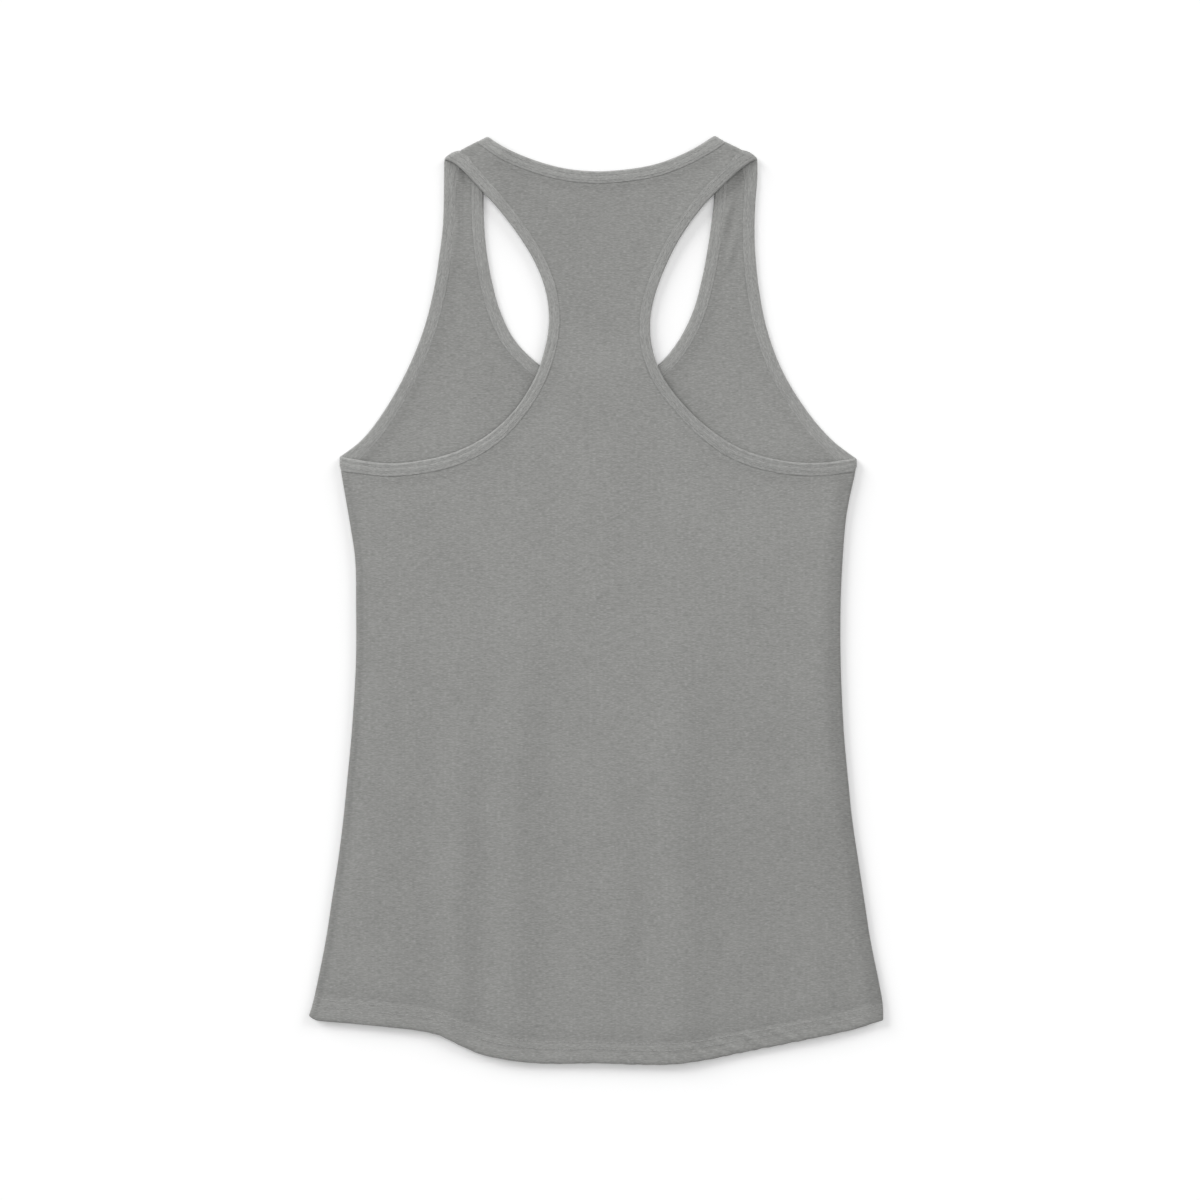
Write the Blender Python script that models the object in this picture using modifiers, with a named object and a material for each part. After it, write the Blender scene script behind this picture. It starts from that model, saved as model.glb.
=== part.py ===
"""A racerback tank top laid flat with its back side up.

Two jersey panels are joined at the shoulders and down the sides, where the cloth turns over.
Folded bands finish the neck and both armholes, and the hem is turned up inside.

All sizes below are in millimetres. The plan has its origin in the middle of the garment's
outline. "drop" is the distance below the highest shoulder point. "left" and "right" are the
distances from the origin to either side, as seen from above.
"""

import math

import bmesh
import bpy
import numpy as np

MM = 0.001
MERGE = 0.00002  # patches meet within this, in metres

# Driving dimensions
LENGTH = 682.7  # highest shoulder point to the lowest point of the hem
PANEL_WALL = 1.2  # one layer of jersey
BAND_WALL = 2.2  # a band is jersey folded double
BAND_WIDTH = 8.8
HEM_WALL = 2.2  # the panel and its turned-up edge
HEM_ROWS = (0.0, 9.0, 17.5, 18.5)  # heights over the edge; the turned-up cloth ends at the third
HEM_TO_FOLD = 2.8  # the turned-up cloth keeps this far from the side folds, for the turn there
SEAM_GAP = 0.3
FRONT_HEM_RISE = 2.0  # the front's hem ends this much above the back's

# The two layers, turned over each other at the sides and shoulders
FOLD_HEIGHT = 2 * BAND_WALL + SEAM_GAP
FOLD_RADIUS = FOLD_HEIGHT / 2
RIM_CLEAR = 0.45  # from the middle of a fold to each panel's rim
FOLD_EASE = 14.0  # how far in from a fold the cloth still rises
BODY_LOFT = 1.1  # how much higher the back lies inside its folds

# From the edge of the open neckline inwards, the back sinks until it spans the opening.
SINK_START = 3.0
SINK_END = 40.0
SPAN_HEIGHT = 1.4  # the back's underside over the floor there

# Band section, as fractions of its width and wall
BAND_SECTION = ((0.0, 0.32), (0.08, 0.0), (1.0, 0.0), (1.0, 1.0), (0.08, 1.0), (0.0, 0.68))
BAND_TURN = 18.0  # length over which a band swings round to meet a fold

# Shoulder fold: place, left, left drop, right, right drop
SHOULDER = {
    "armhole_edge": (111.9, 17.0, 118.8, 16.9),
    "armhole_seam": (99.4, 10.6, 106.6, 10.1),
    "neck_seam": (86.9, 4.0, 94.8, 4.3),
    "neck_edge": (79.7, 0.5, 87.2, -0.2),
}

# Side seam: drop, left, right
SIDE_SEAM = (
    (247.0, 187.2, 190.4),
    (267.5, 183.8, 186.0),
    (282.0, 181.3, 183.6),
    (311.0, 177.0, 181.2),
    (345.0, 176.3, 179.7),
    (385.0, 176.4, 179.7),
    (415.0, 177.9, 180.8),
    (444.0, 180.0, 182.5),
    (473.0, 182.8, 185.2),
    (503.0, 185.8, 188.3),
    (532.0, 189.5, 192.6),
    (561.0, 194.0, 197.0),
    (591.0, 198.6, 201.6),
    (620.0, 204.3, 207.5),
    (638.0, 208.3, 210.6),
)

# Hem between the side seams: across, drop
HEM = (
    (-211.0, 646.6),
    (-206.0, 649.6),
    (-198.0, 650.8),
    (-180.0, 652.3),
    (-150.0, 655.2),
    (-128.0, 657.9),
    (-114.0, 661.5),
    (-100.0, 668.2),
    (-85.0, 674.7),
    (-70.0, 678.2),
    (-50.0, 680.9),
    (-30.0, 681.9),
    (0.0, 681.4),
    (34.0, 682.5),
    (56.0, 682.2),
    (80.0, 679.2),
    (110.0, 673.1),
    (150.0, 665.1),
    (193.0, 655.7),
    (203.0, 652.1),
    (211.0, 649.8),
)

# Outer edge of the back neck band between the shoulder folds: across, drop
BACK_NECK = (
    (-70.5, 6.8),
    (-59.0, 12.6),
    (-41.0, 19.3),
    (-23.5, 23.8),
    (-5.0, 25.9),
    (10.0, 25.8),
    (38.0, 22.2),
    (56.0, 16.7),
    (73.5, 8.6),
)

# Outer edge of the front neck band below the shoulder fold: drop, left, right
FRONT_NECK = (
    (21.0, 82.2, 87.2),
    (44.0, 82.8, 87.0),
    (62.0, 82.5, 85.1),
    (84.0, 80.6, 81.9),
    (106.0, 76.8, 77.6),
    (128.0, 70.8, 71.6),
    (150.0, 59.9, 60.9),
    (169.0, 40.6, 44.8),
    (181.0, 20.0, 23.6),
)
FRONT_NECK_LOWEST = (1.6, 185.5)  # across, drop

# Outer edge of the front armhole bands: drop, left, right
FRONT_ARMHOLE = (
    (30.0, 111.8, 118.6),
    (48.0, 111.9, 117.2),
    (66.0, 112.6, 116.5),
    (84.0, 114.7, 116.9),
    (113.0, 119.3, 119.8),
    (142.0, 126.7, 125.6),
    (172.0, 138.8, 136.6),
    (201.0, 155.0, 154.2),
    (223.0, 171.8, 172.9),
)

# Outer edge of the back armhole bands: left, left drop, right, right drop
BACK_ARMHOLE = (
    (102.5, 21.8, 108.8, 22.8),
    (83.0, 41.6, 87.4, 42.4),
    (70.6, 55.2, 76.2, 54.6),
    (56.2, 74.2, 60.9, 76.4),
    (44.7, 93.4, 50.0, 98.4),
    (36.8, 114.8, 42.3, 120.6),
    (34.6, 136.8, 39.6, 139.0),
    (38.1, 158.8, 41.8, 158.8),
    (45.6, 179.4, 49.4, 177.8),
    (59.6, 201.4, 61.8, 194.8),
    (79.4, 219.8, 79.4, 212.4),
    (103.6, 232.4, 104.4, 229.0),
    (129.4, 238.8, 131.6, 237.8),
    (155.2, 240.6, 161.0, 240.4),
)
UNDERARM = (188.2, 235.8, 191.2, 237.2)  # outer edge where both armhole bands meet the side

# Soft folds in the lower back: across at top, across at hem, start drop, full drop,
# height, half width
SOFT_FOLDS = (
    (-152.0, -157.0, 340.0, 540.0, 1.1, 26.0),
    (-98.0, -101.0, 330.0, 540.0, 1.8, 14.0),
    (-56.0, -61.0, 270.0, 470.0, 1.7, 16.5),
    (10.0, 4.0, 380.0, 520.0, 1.2, 25.0),
    (20.0, 22.0, 420.0, 560.0, 0.4, 9.0),
    (60.0, 63.0, 310.0, 500.0, 2.1, 20.0),
    (160.0, 166.0, 300.0, 480.0, 0.7, 15.0),
)
FOLDS_END = 30.0  # height over the hem from which the soft folds die down
FOLDS_AT_HEM = 0.4  # share of their height that is left at the hem

# Mesh density
RELAX_ROUNDS = 12  # each evens out the points inside a patch
SPAN_STEPS = 10  # straight steps between two points of a smooth curve
FINE_STEPS = 20  # steps between two points of an edge where it is cut off beside a fold
TANGENT_STEP = 0.004  # share of a curve on each side of a point, for its direction there
ROLL_ANGLES = (0.0, 12.0, 33.0, 60.0, 90.0)  # degrees round a fold, from rim to flat
BAND_ROLL_ANGLES = (45.0, 0.0, -45.0)
BACK_ARMHOLE_STEPS = (11, 19)  # along the skirt's upper edge, then up the racer
BACK_NECK_STEPS = 14
FRONT_ARMHOLE_STEPS = (10, 14)  # up the chest, then up the strap
FRONT_NECK_STEPS = (14, 14)  # along each strap, then round the scoop
STRAP_COLUMNS = 4
BACK_SKIRT_ROWS = 24
FRONT_SKIRT_ROWS = 9
UNDERARM_SPLIT = 0.355  # share of the back armhole that runs along the skirt's upper edge
CHEST_SPLIT = 0.52  # share of the front armhole beside the chest
SCOOP_SPLIT = 0.31  # share of the front neckline along each strap

COLOURS = {  # base colour of each piece
    "front": (0.262, 0.260, 0.258, 1.0),
    "back": (0.270, 0.268, 0.266, 1.0),
    "neck_binding": (0.325, 0.323, 0.320, 1.0),
    "armhole_binding_left": (0.325, 0.323, 0.320, 1.0),
    "armhole_binding_right": (0.325, 0.323, 0.320, 1.0),
}
CLOTH_ROUGHNESS = 0.92


# ---------------------------------------------------------------- plan curves


def plan(across, drop):
    """A point of the plan from its place across and its drop."""
    return np.array((across, LENGTH / 2 - drop))


def on_side(sign, row):
    """The left (-1) or right (1) point of a row of left, left drop, right, right drop."""
    return plan(-row[0], row[1]) if sign < 0 else plan(row[2], row[3])


def column(sign, row):
    """The left (-1) or right (1) point of a row of drop, left, right."""
    return plan(-row[1], row[0]) if sign < 0 else plan(row[2], row[0])


def smooth(points):
    """A smooth curve through the points, as many short straight steps."""
    points = np.array(points)
    ends = 2 * points[0] - points[1], 2 * points[-1] - points[-2]
    padded = np.vstack((ends[0], points, ends[1]))
    gaps = np.linalg.norm(np.diff(padded, axis=0), axis=1) ** 0.5
    knots = np.concatenate(((0.0,), np.cumsum(gaps)))
    curve = []
    for i in range(len(points) - 1):
        p, k = padded[i : i + 4], knots[i : i + 4]
        for t in np.linspace(k[1], k[2], SPAN_STEPS, endpoint=False):
            a = [(p[j] * (k[j + 1] - t) + p[j + 1] * (t - k[j])) / (k[j + 1] - k[j]) for j in range(3)]
            b = [(a[j] * (k[j + 2] - t) + a[j + 1] * (t - k[j])) / (k[j + 2] - k[j]) for j in range(2)]
            curve.append((b[0] * (k[2] - t) + b[1] * (t - k[1])) / (k[2] - k[1]))
    curve.append(points[-1])
    return np.array(curve)


def at_shares(curve, shares):
    """The points of a curve at the given shares of its length."""
    steps = np.linalg.norm(np.diff(curve, axis=0), axis=1)
    along = np.concatenate(((0.0,), np.cumsum(steps)))
    wanted = shares * along[-1]
    return np.column_stack([np.interp(wanted, along, curve[:, k]) for k in range(2)])


def arc_length(points):
    return float(np.linalg.norm(np.diff(points, axis=0), axis=1).sum())


def square(direction):
    """The direction turned a quarter turn to the left, at length 1."""
    turned = np.column_stack((-direction[:, 1], direction[:, 0]))
    return turned / np.linalg.norm(turned, axis=1)[:, None]


def split_steps(split, steps, ends=(0.0, 1.0)):
    """Shares along a curve with the given steps on each side of its split."""
    lower = np.linspace(ends[0], split, steps[0] + 1)
    upper = np.linspace(split, ends[1], steps[1] + 1)
    return np.concatenate((lower, upper[1:]))


def ease(start, end, value):
    """A smooth step from 0 at start to 1 at end."""
    t = np.clip((value - start) / (end - start), 0.0, 1.0)
    return t * t * (3 - 2 * t)


def distance(curve, points):
    """The distance from each point to the curve."""
    a, b = curve[:-1], curve[1:]
    run = b - a
    offset = points[:, None, :] - a[None]
    t = np.clip((offset * run).sum(2) / (run * run).sum(1), 0.0, 1.0)
    return np.linalg.norm(offset - t[..., None] * run, axis=2).min(1)


def inside(curve, points):
    """Which points lie within the curve, closed by a straight line."""
    a, b = curve, np.roll(curve, -1, axis=0)
    x, y = points[:, 0][:, None], points[:, 1][:, None]
    crosses = (a[:, 1] > y) != (b[:, 1] > y)
    rise = np.where(b[:, 1] == a[:, 1], 1.0, b[:, 1] - a[:, 1])
    at_x = a[:, 0] + (y - a[:, 1]) * (b[:, 0] - a[:, 0]) / rise
    return (crosses & (x < at_x)).sum(1) % 2 == 1


# ---------------------------------------------------------------- the garment's edges


def shoulder_point(sign, place):
    return on_side(sign, SHOULDER[place])


def side_curve(sign):
    """The side fold from the armhole bands' outer edge down to the hem."""
    corner = plan(*(HEM[0] if sign < 0 else HEM[-1]))
    rows = [column(sign, row) for row in SIDE_SEAM]
    return smooth([on_side(sign, UNDERARM), *rows, corner])


def shoulder_line(sign):
    return np.array([shoulder_point(sign, place) for place in SHOULDER])


def front_neck_curve():
    left = [column(-1, row) for row in FRONT_NECK]
    right = [column(1, row) for row in FRONT_NECK]
    ends = shoulder_point(-1, "neck_edge"), shoulder_point(1, "neck_edge")
    return smooth([ends[0], *left, plan(*FRONT_NECK_LOWEST), *reversed(right), ends[1]])


def back_neck_curve():
    ends = shoulder_point(-1, "neck_edge"), shoulder_point(1, "neck_edge")
    return smooth([ends[0], *[plan(*row) for row in BACK_NECK], ends[1]])


def hem_curve():
    return smooth([plan(*row) for row in HEM])


def over_hem(points):
    """How far points lie above the back's hem."""
    hem = hem_curve()
    return points[:, 1] - np.interp(points[:, 0], hem[:, 0], hem[:, 1])


def armhole_curve(sign, rows, take):
    """An armhole edge from the side fold up to the shoulder fold."""
    points = [take(sign, row) for row in reversed(rows)]
    ends = on_side(sign, UNDERARM), shoulder_point(sign, "armhole_edge")
    return smooth([ends[0], *points, ends[1]])


class Band:
    """Half of a band: its outer edge, its seam and the panel's edge beside the seam.

    edges and rims hold the outer edge and the panel's edge in the fold at each end, and
    seams the seam there. The first and last points of edge, seam and panel_edge are where
    the cloth leaves the folds' turn.
    """

    def __init__(self, curve, shares, cloth_side, seams):
        """cloth_side is 1 where the panel lies left of the curve, -1 where it lies right."""
        self.edge = at_shares(curve, shares)
        before = at_shares(curve, np.clip(shares - TANGENT_STEP, 0, 1))
        after = at_shares(curve, np.clip(shares + TANGENT_STEP, 0, 1))
        across = square(after - before) * cloth_side * BAND_WIDTH
        along = shares * arc_length(curve)
        for end, reach in ((0, along), (-1, along[-1] - along)):
            share = (1 - ease(0.0, BAND_TURN, reach))[:, None]
            across = across * (1 - share) + (seams[end] - self.edge[end]) * share
        width = np.linalg.norm(across, axis=1)[:, None]
        self.seam = self.edge + across
        self.panel_edge = self.seam + across / width * SEAM_GAP
        self.edges = self.edge[0].copy(), self.edge[-1].copy()
        self.seams = seams
        self.rims = self.panel_edge[0].copy(), self.panel_edge[-1].copy()
        for end, neighbour in ((0, 1), (-1, -2)):
            inward = square(across[end : end + 1 or None])[0] * FOLD_RADIUS
            if inward @ (self.edge[neighbour] - self.edge[end]) < 0:
                inward = -inward
            for line in (self.edge, self.seam, self.panel_edge):
                line[end] += inward


def underarm_seam(sign):
    return column(sign, SIDE_SEAM[0])


def armhole_band(sign, layer):
    """The back or front half of an armhole band, from the side fold to the shoulder fold."""
    rows, take, split, steps = {
        "back": (BACK_ARMHOLE, on_side, UNDERARM_SPLIT, BACK_ARMHOLE_STEPS),
        "front": (FRONT_ARMHOLE, column, CHEST_SPLIT, FRONT_ARMHOLE_STEPS),
    }[layer]
    curve = armhole_curve(sign, rows, take)
    seams = underarm_seam(sign), shoulder_point(sign, "armhole_seam")
    return Band(curve, split_steps(split, steps), sign, seams)


def neck_band(layer):
    """The back or front half of the neck band, from the left fold to the right one."""
    seams = shoulder_point(-1, "neck_seam"), shoulder_point(1, "neck_seam")
    if layer == "back":
        return Band(back_neck_curve(), np.linspace(0, 1, BACK_NECK_STEPS + 1), -1, seams)
    strap, scoop = FRONT_NECK_STEPS
    lower = split_steps(SCOOP_SPLIT, (strap, scoop), (0.0, 1 - SCOOP_SPLIT))
    upper = np.linspace(1 - SCOOP_SPLIT, 1, strap + 1)
    return Band(front_neck_curve(), np.concatenate((lower, upper[1:])), -1, seams)


# ---------------------------------------------------------------- heights


class Lie:
    """How high each layer lies over the floor, in mm, at points of the plan."""

    def __init__(self):
        self.folds = {("side", sign): side_curve(sign) for sign in (-1, 1)}
        self.folds |= {("shoulder", sign): shoulder_line(sign) for sign in (-1, 1)}
        self.neckline = front_neck_curve()

    def fold(self, kind, sign):
        return self.folds[kind, sign]

    def to_fold(self, points):
        """The distance to the nearest fold at a side or shoulder."""
        return np.min([distance(fold, points) for fold in self.folds.values()], axis=0)

    def loft(self, points):
        """How much the soft folds lift the back."""
        drop = LENGTH / 2 - points[:, 1]
        folds = np.zeros(len(points))
        for top, hem, start, full, rise, half_width in SOFT_FOLDS:
            middle = top + (hem - top) * np.clip((drop - start) / (LENGTH - start), 0, 1)
            ridge = np.exp(-(((points[:, 0] - middle) / half_width) ** 2))
            folds += rise * ridge * ease(start, full, drop)
        near_hem = ease(FOLDS_END, 0.0, over_hem(points))
        return BODY_LOFT + folds * (1 - (1 - FOLDS_AT_HEM) * near_hem)

    def under_back(self, points):
        """The underside of the back layer, away from the folds' turn."""
        over_hole = np.where(inside(self.neckline, points), distance(self.neckline, points), 0.0)
        sink = ease(SINK_START, SINK_END, over_hole)
        inland = ease(FOLD_RADIUS, FOLD_RADIUS + FOLD_EASE, self.to_fold(points))
        resting = SEAM_GAP + BAND_WALL + inland * self.loft(points)
        return resting + (SPAN_HEIGHT - resting) * sink

    def turn(self, points):
        """0 at a fold's outermost line, 1 where the cloth leaves its turn."""
        inward = np.clip(1 - self.to_fold(points) / FOLD_RADIUS, 0, 1)
        return np.sqrt(1 - inward**2)

    def back_outside(self, points):
        to_fold = self.to_fold(points)
        inland = ease(FOLD_RADIUS, FOLD_RADIUS + FOLD_EASE, to_fold)
        flat = self.under_back(points) + PANEL_WALL + (1 - inland) * (BAND_WALL - PANEL_WALL)
        rim = FOLD_RADIUS + RIM_CLEAR
        return np.where(to_fold < FOLD_RADIUS, rim + (flat - rim) * self.turn(points), flat)

    def front_outside(self, points):
        return (FOLD_RADIUS - RIM_CLEAR) * (1 - self.turn(points))


# ---------------------------------------------------------------- panels


def lengths(edge):
    """The share of an edge's length at each of its points."""
    along = np.concatenate(((0.0,), np.cumsum(np.linalg.norm(np.diff(edge, axis=0), axis=1))))
    return along / along[-1]


def patch(bottom, top, left, right, held=1):
    """A grid of points that fills the space between four edges with matching counts.

    Its inner points are evened out, above the given number of held rows.
    """
    u = ((lengths(bottom) + lengths(top)) / 2)[None, :, None]
    v = ((lengths(left) + lengths(right)) / 2)[:, None, None]
    across = (1 - u) * left[:, None] + u * right[:, None]
    upward = (1 - v) * bottom[None] + v * top[None]
    low = (1 - u) * bottom[0] + u * bottom[-1]
    high = (1 - u) * top[0] + u * top[-1]
    grid = across + upward - (1 - v) * low - v * high
    for _ in range(RELAX_ROUNDS):
        beside = grid[held:-1, :-2] + grid[held:-1, 2:]
        above_below = grid[held - 1 : -2, 1:-1] + grid[held + 1 :, 1:-1]
        grid[held:-1, 1:-1] = (beside + above_below) / 4
    return grid


def roll_patch(rim, inland):
    """The turn of the cloth between a panel's rim in a fold and its flat part."""
    angles = np.radians(ROLL_ANGLES)
    share = (1 - np.cos(angles))[None, :, None]
    return rim[:, None] + (inland - rim)[:, None] * share


def clear_of_fold(edge, fold):
    """The edge from the point where it leaves the fold's turn, with its other points kept."""
    fine = at_shares(edge, np.linspace(0, 1, FINE_STEPS * len(edge)))
    start = fine[np.argmax(distance(fold, fine) >= FOLD_RADIUS)]
    kept = edge[1:][distance(fold, edge[1:]) > FOLD_RADIUS]
    return np.vstack((start, kept))


def straight(start, end, steps):
    return start + (end - start) * np.linspace(0, 1, steps + 1)[:, None]


def skirt_rows(rows, height):
    """Shares of the skirt's height at its rows, which include HEM_ROWS."""
    hem = np.array(HEM_ROWS) / height
    return np.concatenate((hem, np.linspace(hem[-1], 1, rows - len(hem) + 2)[1:]))


def skirt_patches(folds, bands, top, rise, rows):
    """A panel from its hem up to the given top edge, with both side folds."""
    hem = hem_curve() + np.array((0.0, rise))
    hems = hem, hem[::-1]
    shares = skirt_rows(rows, arc_length(folds["side", -1]))
    patches, inlands = [], []
    for sign, band, along_hem in zip((-1, 1), bands, hems):
        fold = folds["side", sign]
        below = fold[fold[:, 1] < band.rims[0][1] - SEAM_GAP]
        rim = at_shares(np.vstack((along_hem[0], below[-2::-1], band.rims[0])), shares)
        inland = rim + square(np.gradient(rim, axis=0)) * sign * FOLD_RADIUS
        inland[0] = clear_of_fold(along_hem, fold)[0]
        inland[-1] = band.panel_edge[0]
        inlands.append(inland)
        patches.append(roll_patch(rim, inland))
    bottom = clear_of_fold(clear_of_fold(hem, folds["side", -1])[::-1], folds["side", 1])[::-1]
    bottom = at_shares(bottom, lengths(top))
    return [patch(bottom, top, *inlands, held=len(HEM_ROWS)), *patches]


def back_patches(lie):
    """The back: a skirt below the armholes and the racer above it."""
    low = BACK_ARMHOLE_STEPS[0]
    left, right = armhole_band(-1, "back"), armhole_band(1, "back")
    neck = neck_band("back")
    middle = straight(left.panel_edge[low], right.panel_edge[low], BACK_NECK_STEPS + 2)
    top = np.vstack((left.panel_edge[:low], middle, right.panel_edge[low - 1 :: -1]))
    patches = skirt_patches(lie.folds, (left, right), top, 0.0, BACK_SKIRT_ROWS)
    racer_top = np.vstack((left.panel_edge[-1], neck.panel_edge, right.panel_edge[-1]))
    patches.append(patch(middle, racer_top, left.panel_edge[low:], right.panel_edge[low:]))
    for band, end in ((left, 0), (right, -1)):
        rim = np.array((band.rims[1], neck.rims[end]))
        inland = np.array((band.panel_edge[-1], neck.panel_edge[end]))
        patches.append(roll_patch(rim, inland))
    return patches


def front_patches(lie):
    """The front: a skirt, the chest above it and two straps."""
    low = FRONT_ARMHOLE_STEPS[0]
    strap, scoop = FRONT_NECK_STEPS
    bands = armhole_band(-1, "front"), armhole_band(1, "front")
    neck = neck_band("front")
    inner_edges = neck.panel_edge[: strap + 1], neck.panel_edge[strap + scoop :][::-1]
    bases, patches = [], []
    for band, inner, rim in zip(bands, inner_edges, neck.rims):
        outer = band.panel_edge[low:]
        bases.append(straight(outer[0], inner[-1], STRAP_COLUMNS))
        end = straight(outer[-1], inner[0], STRAP_COLUMNS)
        patches.append(patch(bases[-1], end, outer, inner[::-1]))
        patches.append(roll_patch(straight(band.rims[1], rim, STRAP_COLUMNS), end))
    middle = neck.panel_edge[strap + 1 : strap + scoop]
    chest_top = np.vstack((bases[0], middle, bases[1][::-1]))
    left, right = (band.panel_edge[: low + 1] for band in bands)
    waist = at_shares(np.array((left[0], right[0])), lengths(chest_top))
    patches.append(patch(waist, chest_top, left, right))
    return patches + skirt_patches(lie.folds, bands, waist, FRONT_HEM_RISE, FRONT_SKIRT_ROWS)


def hem_share(points, rise, folds):
    """1 in the turned-up hem, 0 elsewhere and in the folds' turn."""
    up = over_hem(points) - rise
    in_turn = np.min([distance(fold, points) for fold in folds], axis=0) < HEM_TO_FOLD
    return np.where((up < sum(HEM_ROWS[2:]) / 2) & ~in_turn, 1.0, 0.0)


def panel(name, patches, height, faces_up, rise, folds):
    """A panel's outer face from its patches, thickened inward by Solidify."""
    mesh = bpy.data.meshes.new(name)
    work = bmesh.new()
    for grid in patches:
        rows, columns = grid.shape[:2]
        flat = grid.reshape(-1, 2)
        points = np.column_stack((flat, height(flat))) * MM
        verts = [work.verts.new(point) for point in points]
        for r in range(rows - 1):
            for c in range(columns - 1):
                i = r * columns + c
                work.faces.new((verts[i], verts[i + 1], verts[i + columns + 1], verts[i + columns]))
    bmesh.ops.remove_doubles(work, verts=work.verts, dist=MERGE)
    bmesh.ops.recalc_face_normals(work, faces=work.faces)
    if (max(work.faces, key=lambda face: face.calc_area()).normal.z > 0) != faces_up:
        bmesh.ops.reverse_faces(work, faces=work.faces)
    work.to_mesh(mesh)
    work.free()

    piece = bpy.data.objects.new(name, mesh)
    group = piece.vertex_groups.new(name="hem")
    places = np.array([vertex.co[:2] for vertex in mesh.vertices]) / MM
    for index, share in enumerate(hem_share(places, rise, folds)):
        group.add([index], float(share), "REPLACE")
    wall = piece.modifiers.new("wall", "SOLIDIFY")
    wall.thickness = HEM_WALL * MM
    wall.offset = -1.0
    wall.vertex_group = group.name
    wall.thickness_vertex_group = PANEL_WALL / HEM_WALL
    wall.use_quality_normals = True
    return finish(piece)


# ---------------------------------------------------------------- bands


def band_sections(lie, band, layer):
    """The band's sections along one layer, between its two folds."""
    sections = []
    for edge, seam in list(zip(band.edge, band.seam))[1:-1]:
        ends = np.array((edge, seam))
        if layer == "back":
            low = lie.under_back(ends)
            levels = low, low + BAND_WALL
        else:
            levels = np.full(2, BAND_WALL), np.zeros(2)
        section = []
        for across, outward in BAND_SECTION:
            place = edge + (seam - edge) * across
            level = [value[0] + (value[1] - value[0]) * across for value in levels]
            section.append((*place, level[0] + (level[1] - level[0]) * outward))
        sections.append(section)
    return sections


def fold_sections(band, end, outward_sign):
    """The band's sections round a fold, from the back layer to the front one."""
    edge, seam = band.edges[end], band.seams[end]
    along = (seam - edge) / np.linalg.norm(seam - edge)
    out = np.array((-along[1], along[0])) * outward_sign
    sections = []
    for angle in (90.0, *BAND_ROLL_ANGLES, -90.0):
        turn = math.radians(angle)
        section = []
        for across, outward in BAND_SECTION:
            radius = SEAM_GAP / 2 + outward * BAND_WALL
            place = edge + (seam - edge) * across + out * (radius * math.cos(turn) - FOLD_RADIUS)
            section.append((*place, FOLD_RADIUS + radius * math.sin(turn)))
        sections.append(section)
    return sections


def ring(name, sections):
    """A closed band through its sections."""
    mesh = bpy.data.meshes.new(name)
    count, around = len(sections), len(BAND_SECTION)
    points = np.array(sections).reshape(-1, 3) * MM
    faces = []
    for i in range(count):
        for j in range(around):
            k, m = (i + 1) % count, (j + 1) % around
            faces.append((i * around + j, i * around + m, k * around + m, k * around + j))
    mesh.from_pydata(points.tolist(), [], faces)
    work = bmesh.new()
    work.from_mesh(mesh)
    bmesh.ops.recalc_face_normals(work, faces=work.faces)
    work.to_mesh(mesh)
    work.free()
    return finish(bpy.data.objects.new(name, mesh))


def armhole_binding(lie, sign):
    """One armhole's band: up the back, over the shoulder and down the front."""
    back, front = armhole_band(sign, "back"), armhole_band(sign, "front")
    sections = band_sections(lie, back, "back")
    sections += fold_sections(back, -1, -sign)
    sections += band_sections(lie, front, "front")[::-1]
    sections += fold_sections(back, 0, sign)[::-1]
    return ring("armhole_binding_" + ("left" if sign < 0 else "right"), sections)


def neck_binding(lie):
    """The neck's band: across the back, over both shoulders and round the front's scoop."""
    back, front = neck_band("back"), neck_band("front")
    sections = band_sections(lie, back, "back")
    sections += fold_sections(back, -1, 1)
    sections += band_sections(lie, front, "front")[::-1]
    sections += fold_sections(back, 0, -1)[::-1]
    return ring("neck_binding", sections)


# ---------------------------------------------------------------- the whole garment


def cloth_material(name):
    material = bpy.data.materials.new(name + "_jersey")
    material.use_nodes = True
    shader = material.node_tree.nodes["Principled BSDF"]
    shader.inputs["Base Color"].default_value = COLOURS[name]
    shader.inputs["Roughness"].default_value = CLOTH_ROUGHNESS
    shader.inputs["Metallic"].default_value = 0.0
    material.diffuse_color = COLOURS[name]
    return material


def finish(piece):
    """Gives a piece its material and puts it in the garment's collection."""
    piece.data.materials.append(cloth_material(piece.name))
    bpy.data.collections["racerback_tank_top"].objects.link(piece)
    piece.parent = bpy.data.objects["garment"]
    return piece


def main():
    for old in list(bpy.data.objects):
        bpy.data.objects.remove(old, do_unlink=True)
    garment = bpy.data.collections.new("racerback_tank_top")
    bpy.context.scene.collection.children.link(garment)
    garment.objects.link(bpy.data.objects.new("garment", None))

    lie = Lie()
    sides = [lie.fold("side", sign) for sign in (-1, 1)]
    panel("front", front_patches(lie), lie.front_outside, False, FRONT_HEM_RISE, sides)
    panel("back", back_patches(lie), lie.back_outside, True, 0.0, sides)
    neck_binding(lie)
    for sign in (-1, 1):
        armhole_binding(lie, sign)


main()
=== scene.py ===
"""A racerback tank top in heather grey jersey, laid flat with its back side up.

The plan of the garment is in millimetres, with its origin in the middle of the outline.
"drop" is the distance below the highest shoulder point. "left" and "right" are the distances
from the origin to either side, as seen from above. Meshes are in metres.
"""

import math

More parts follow.
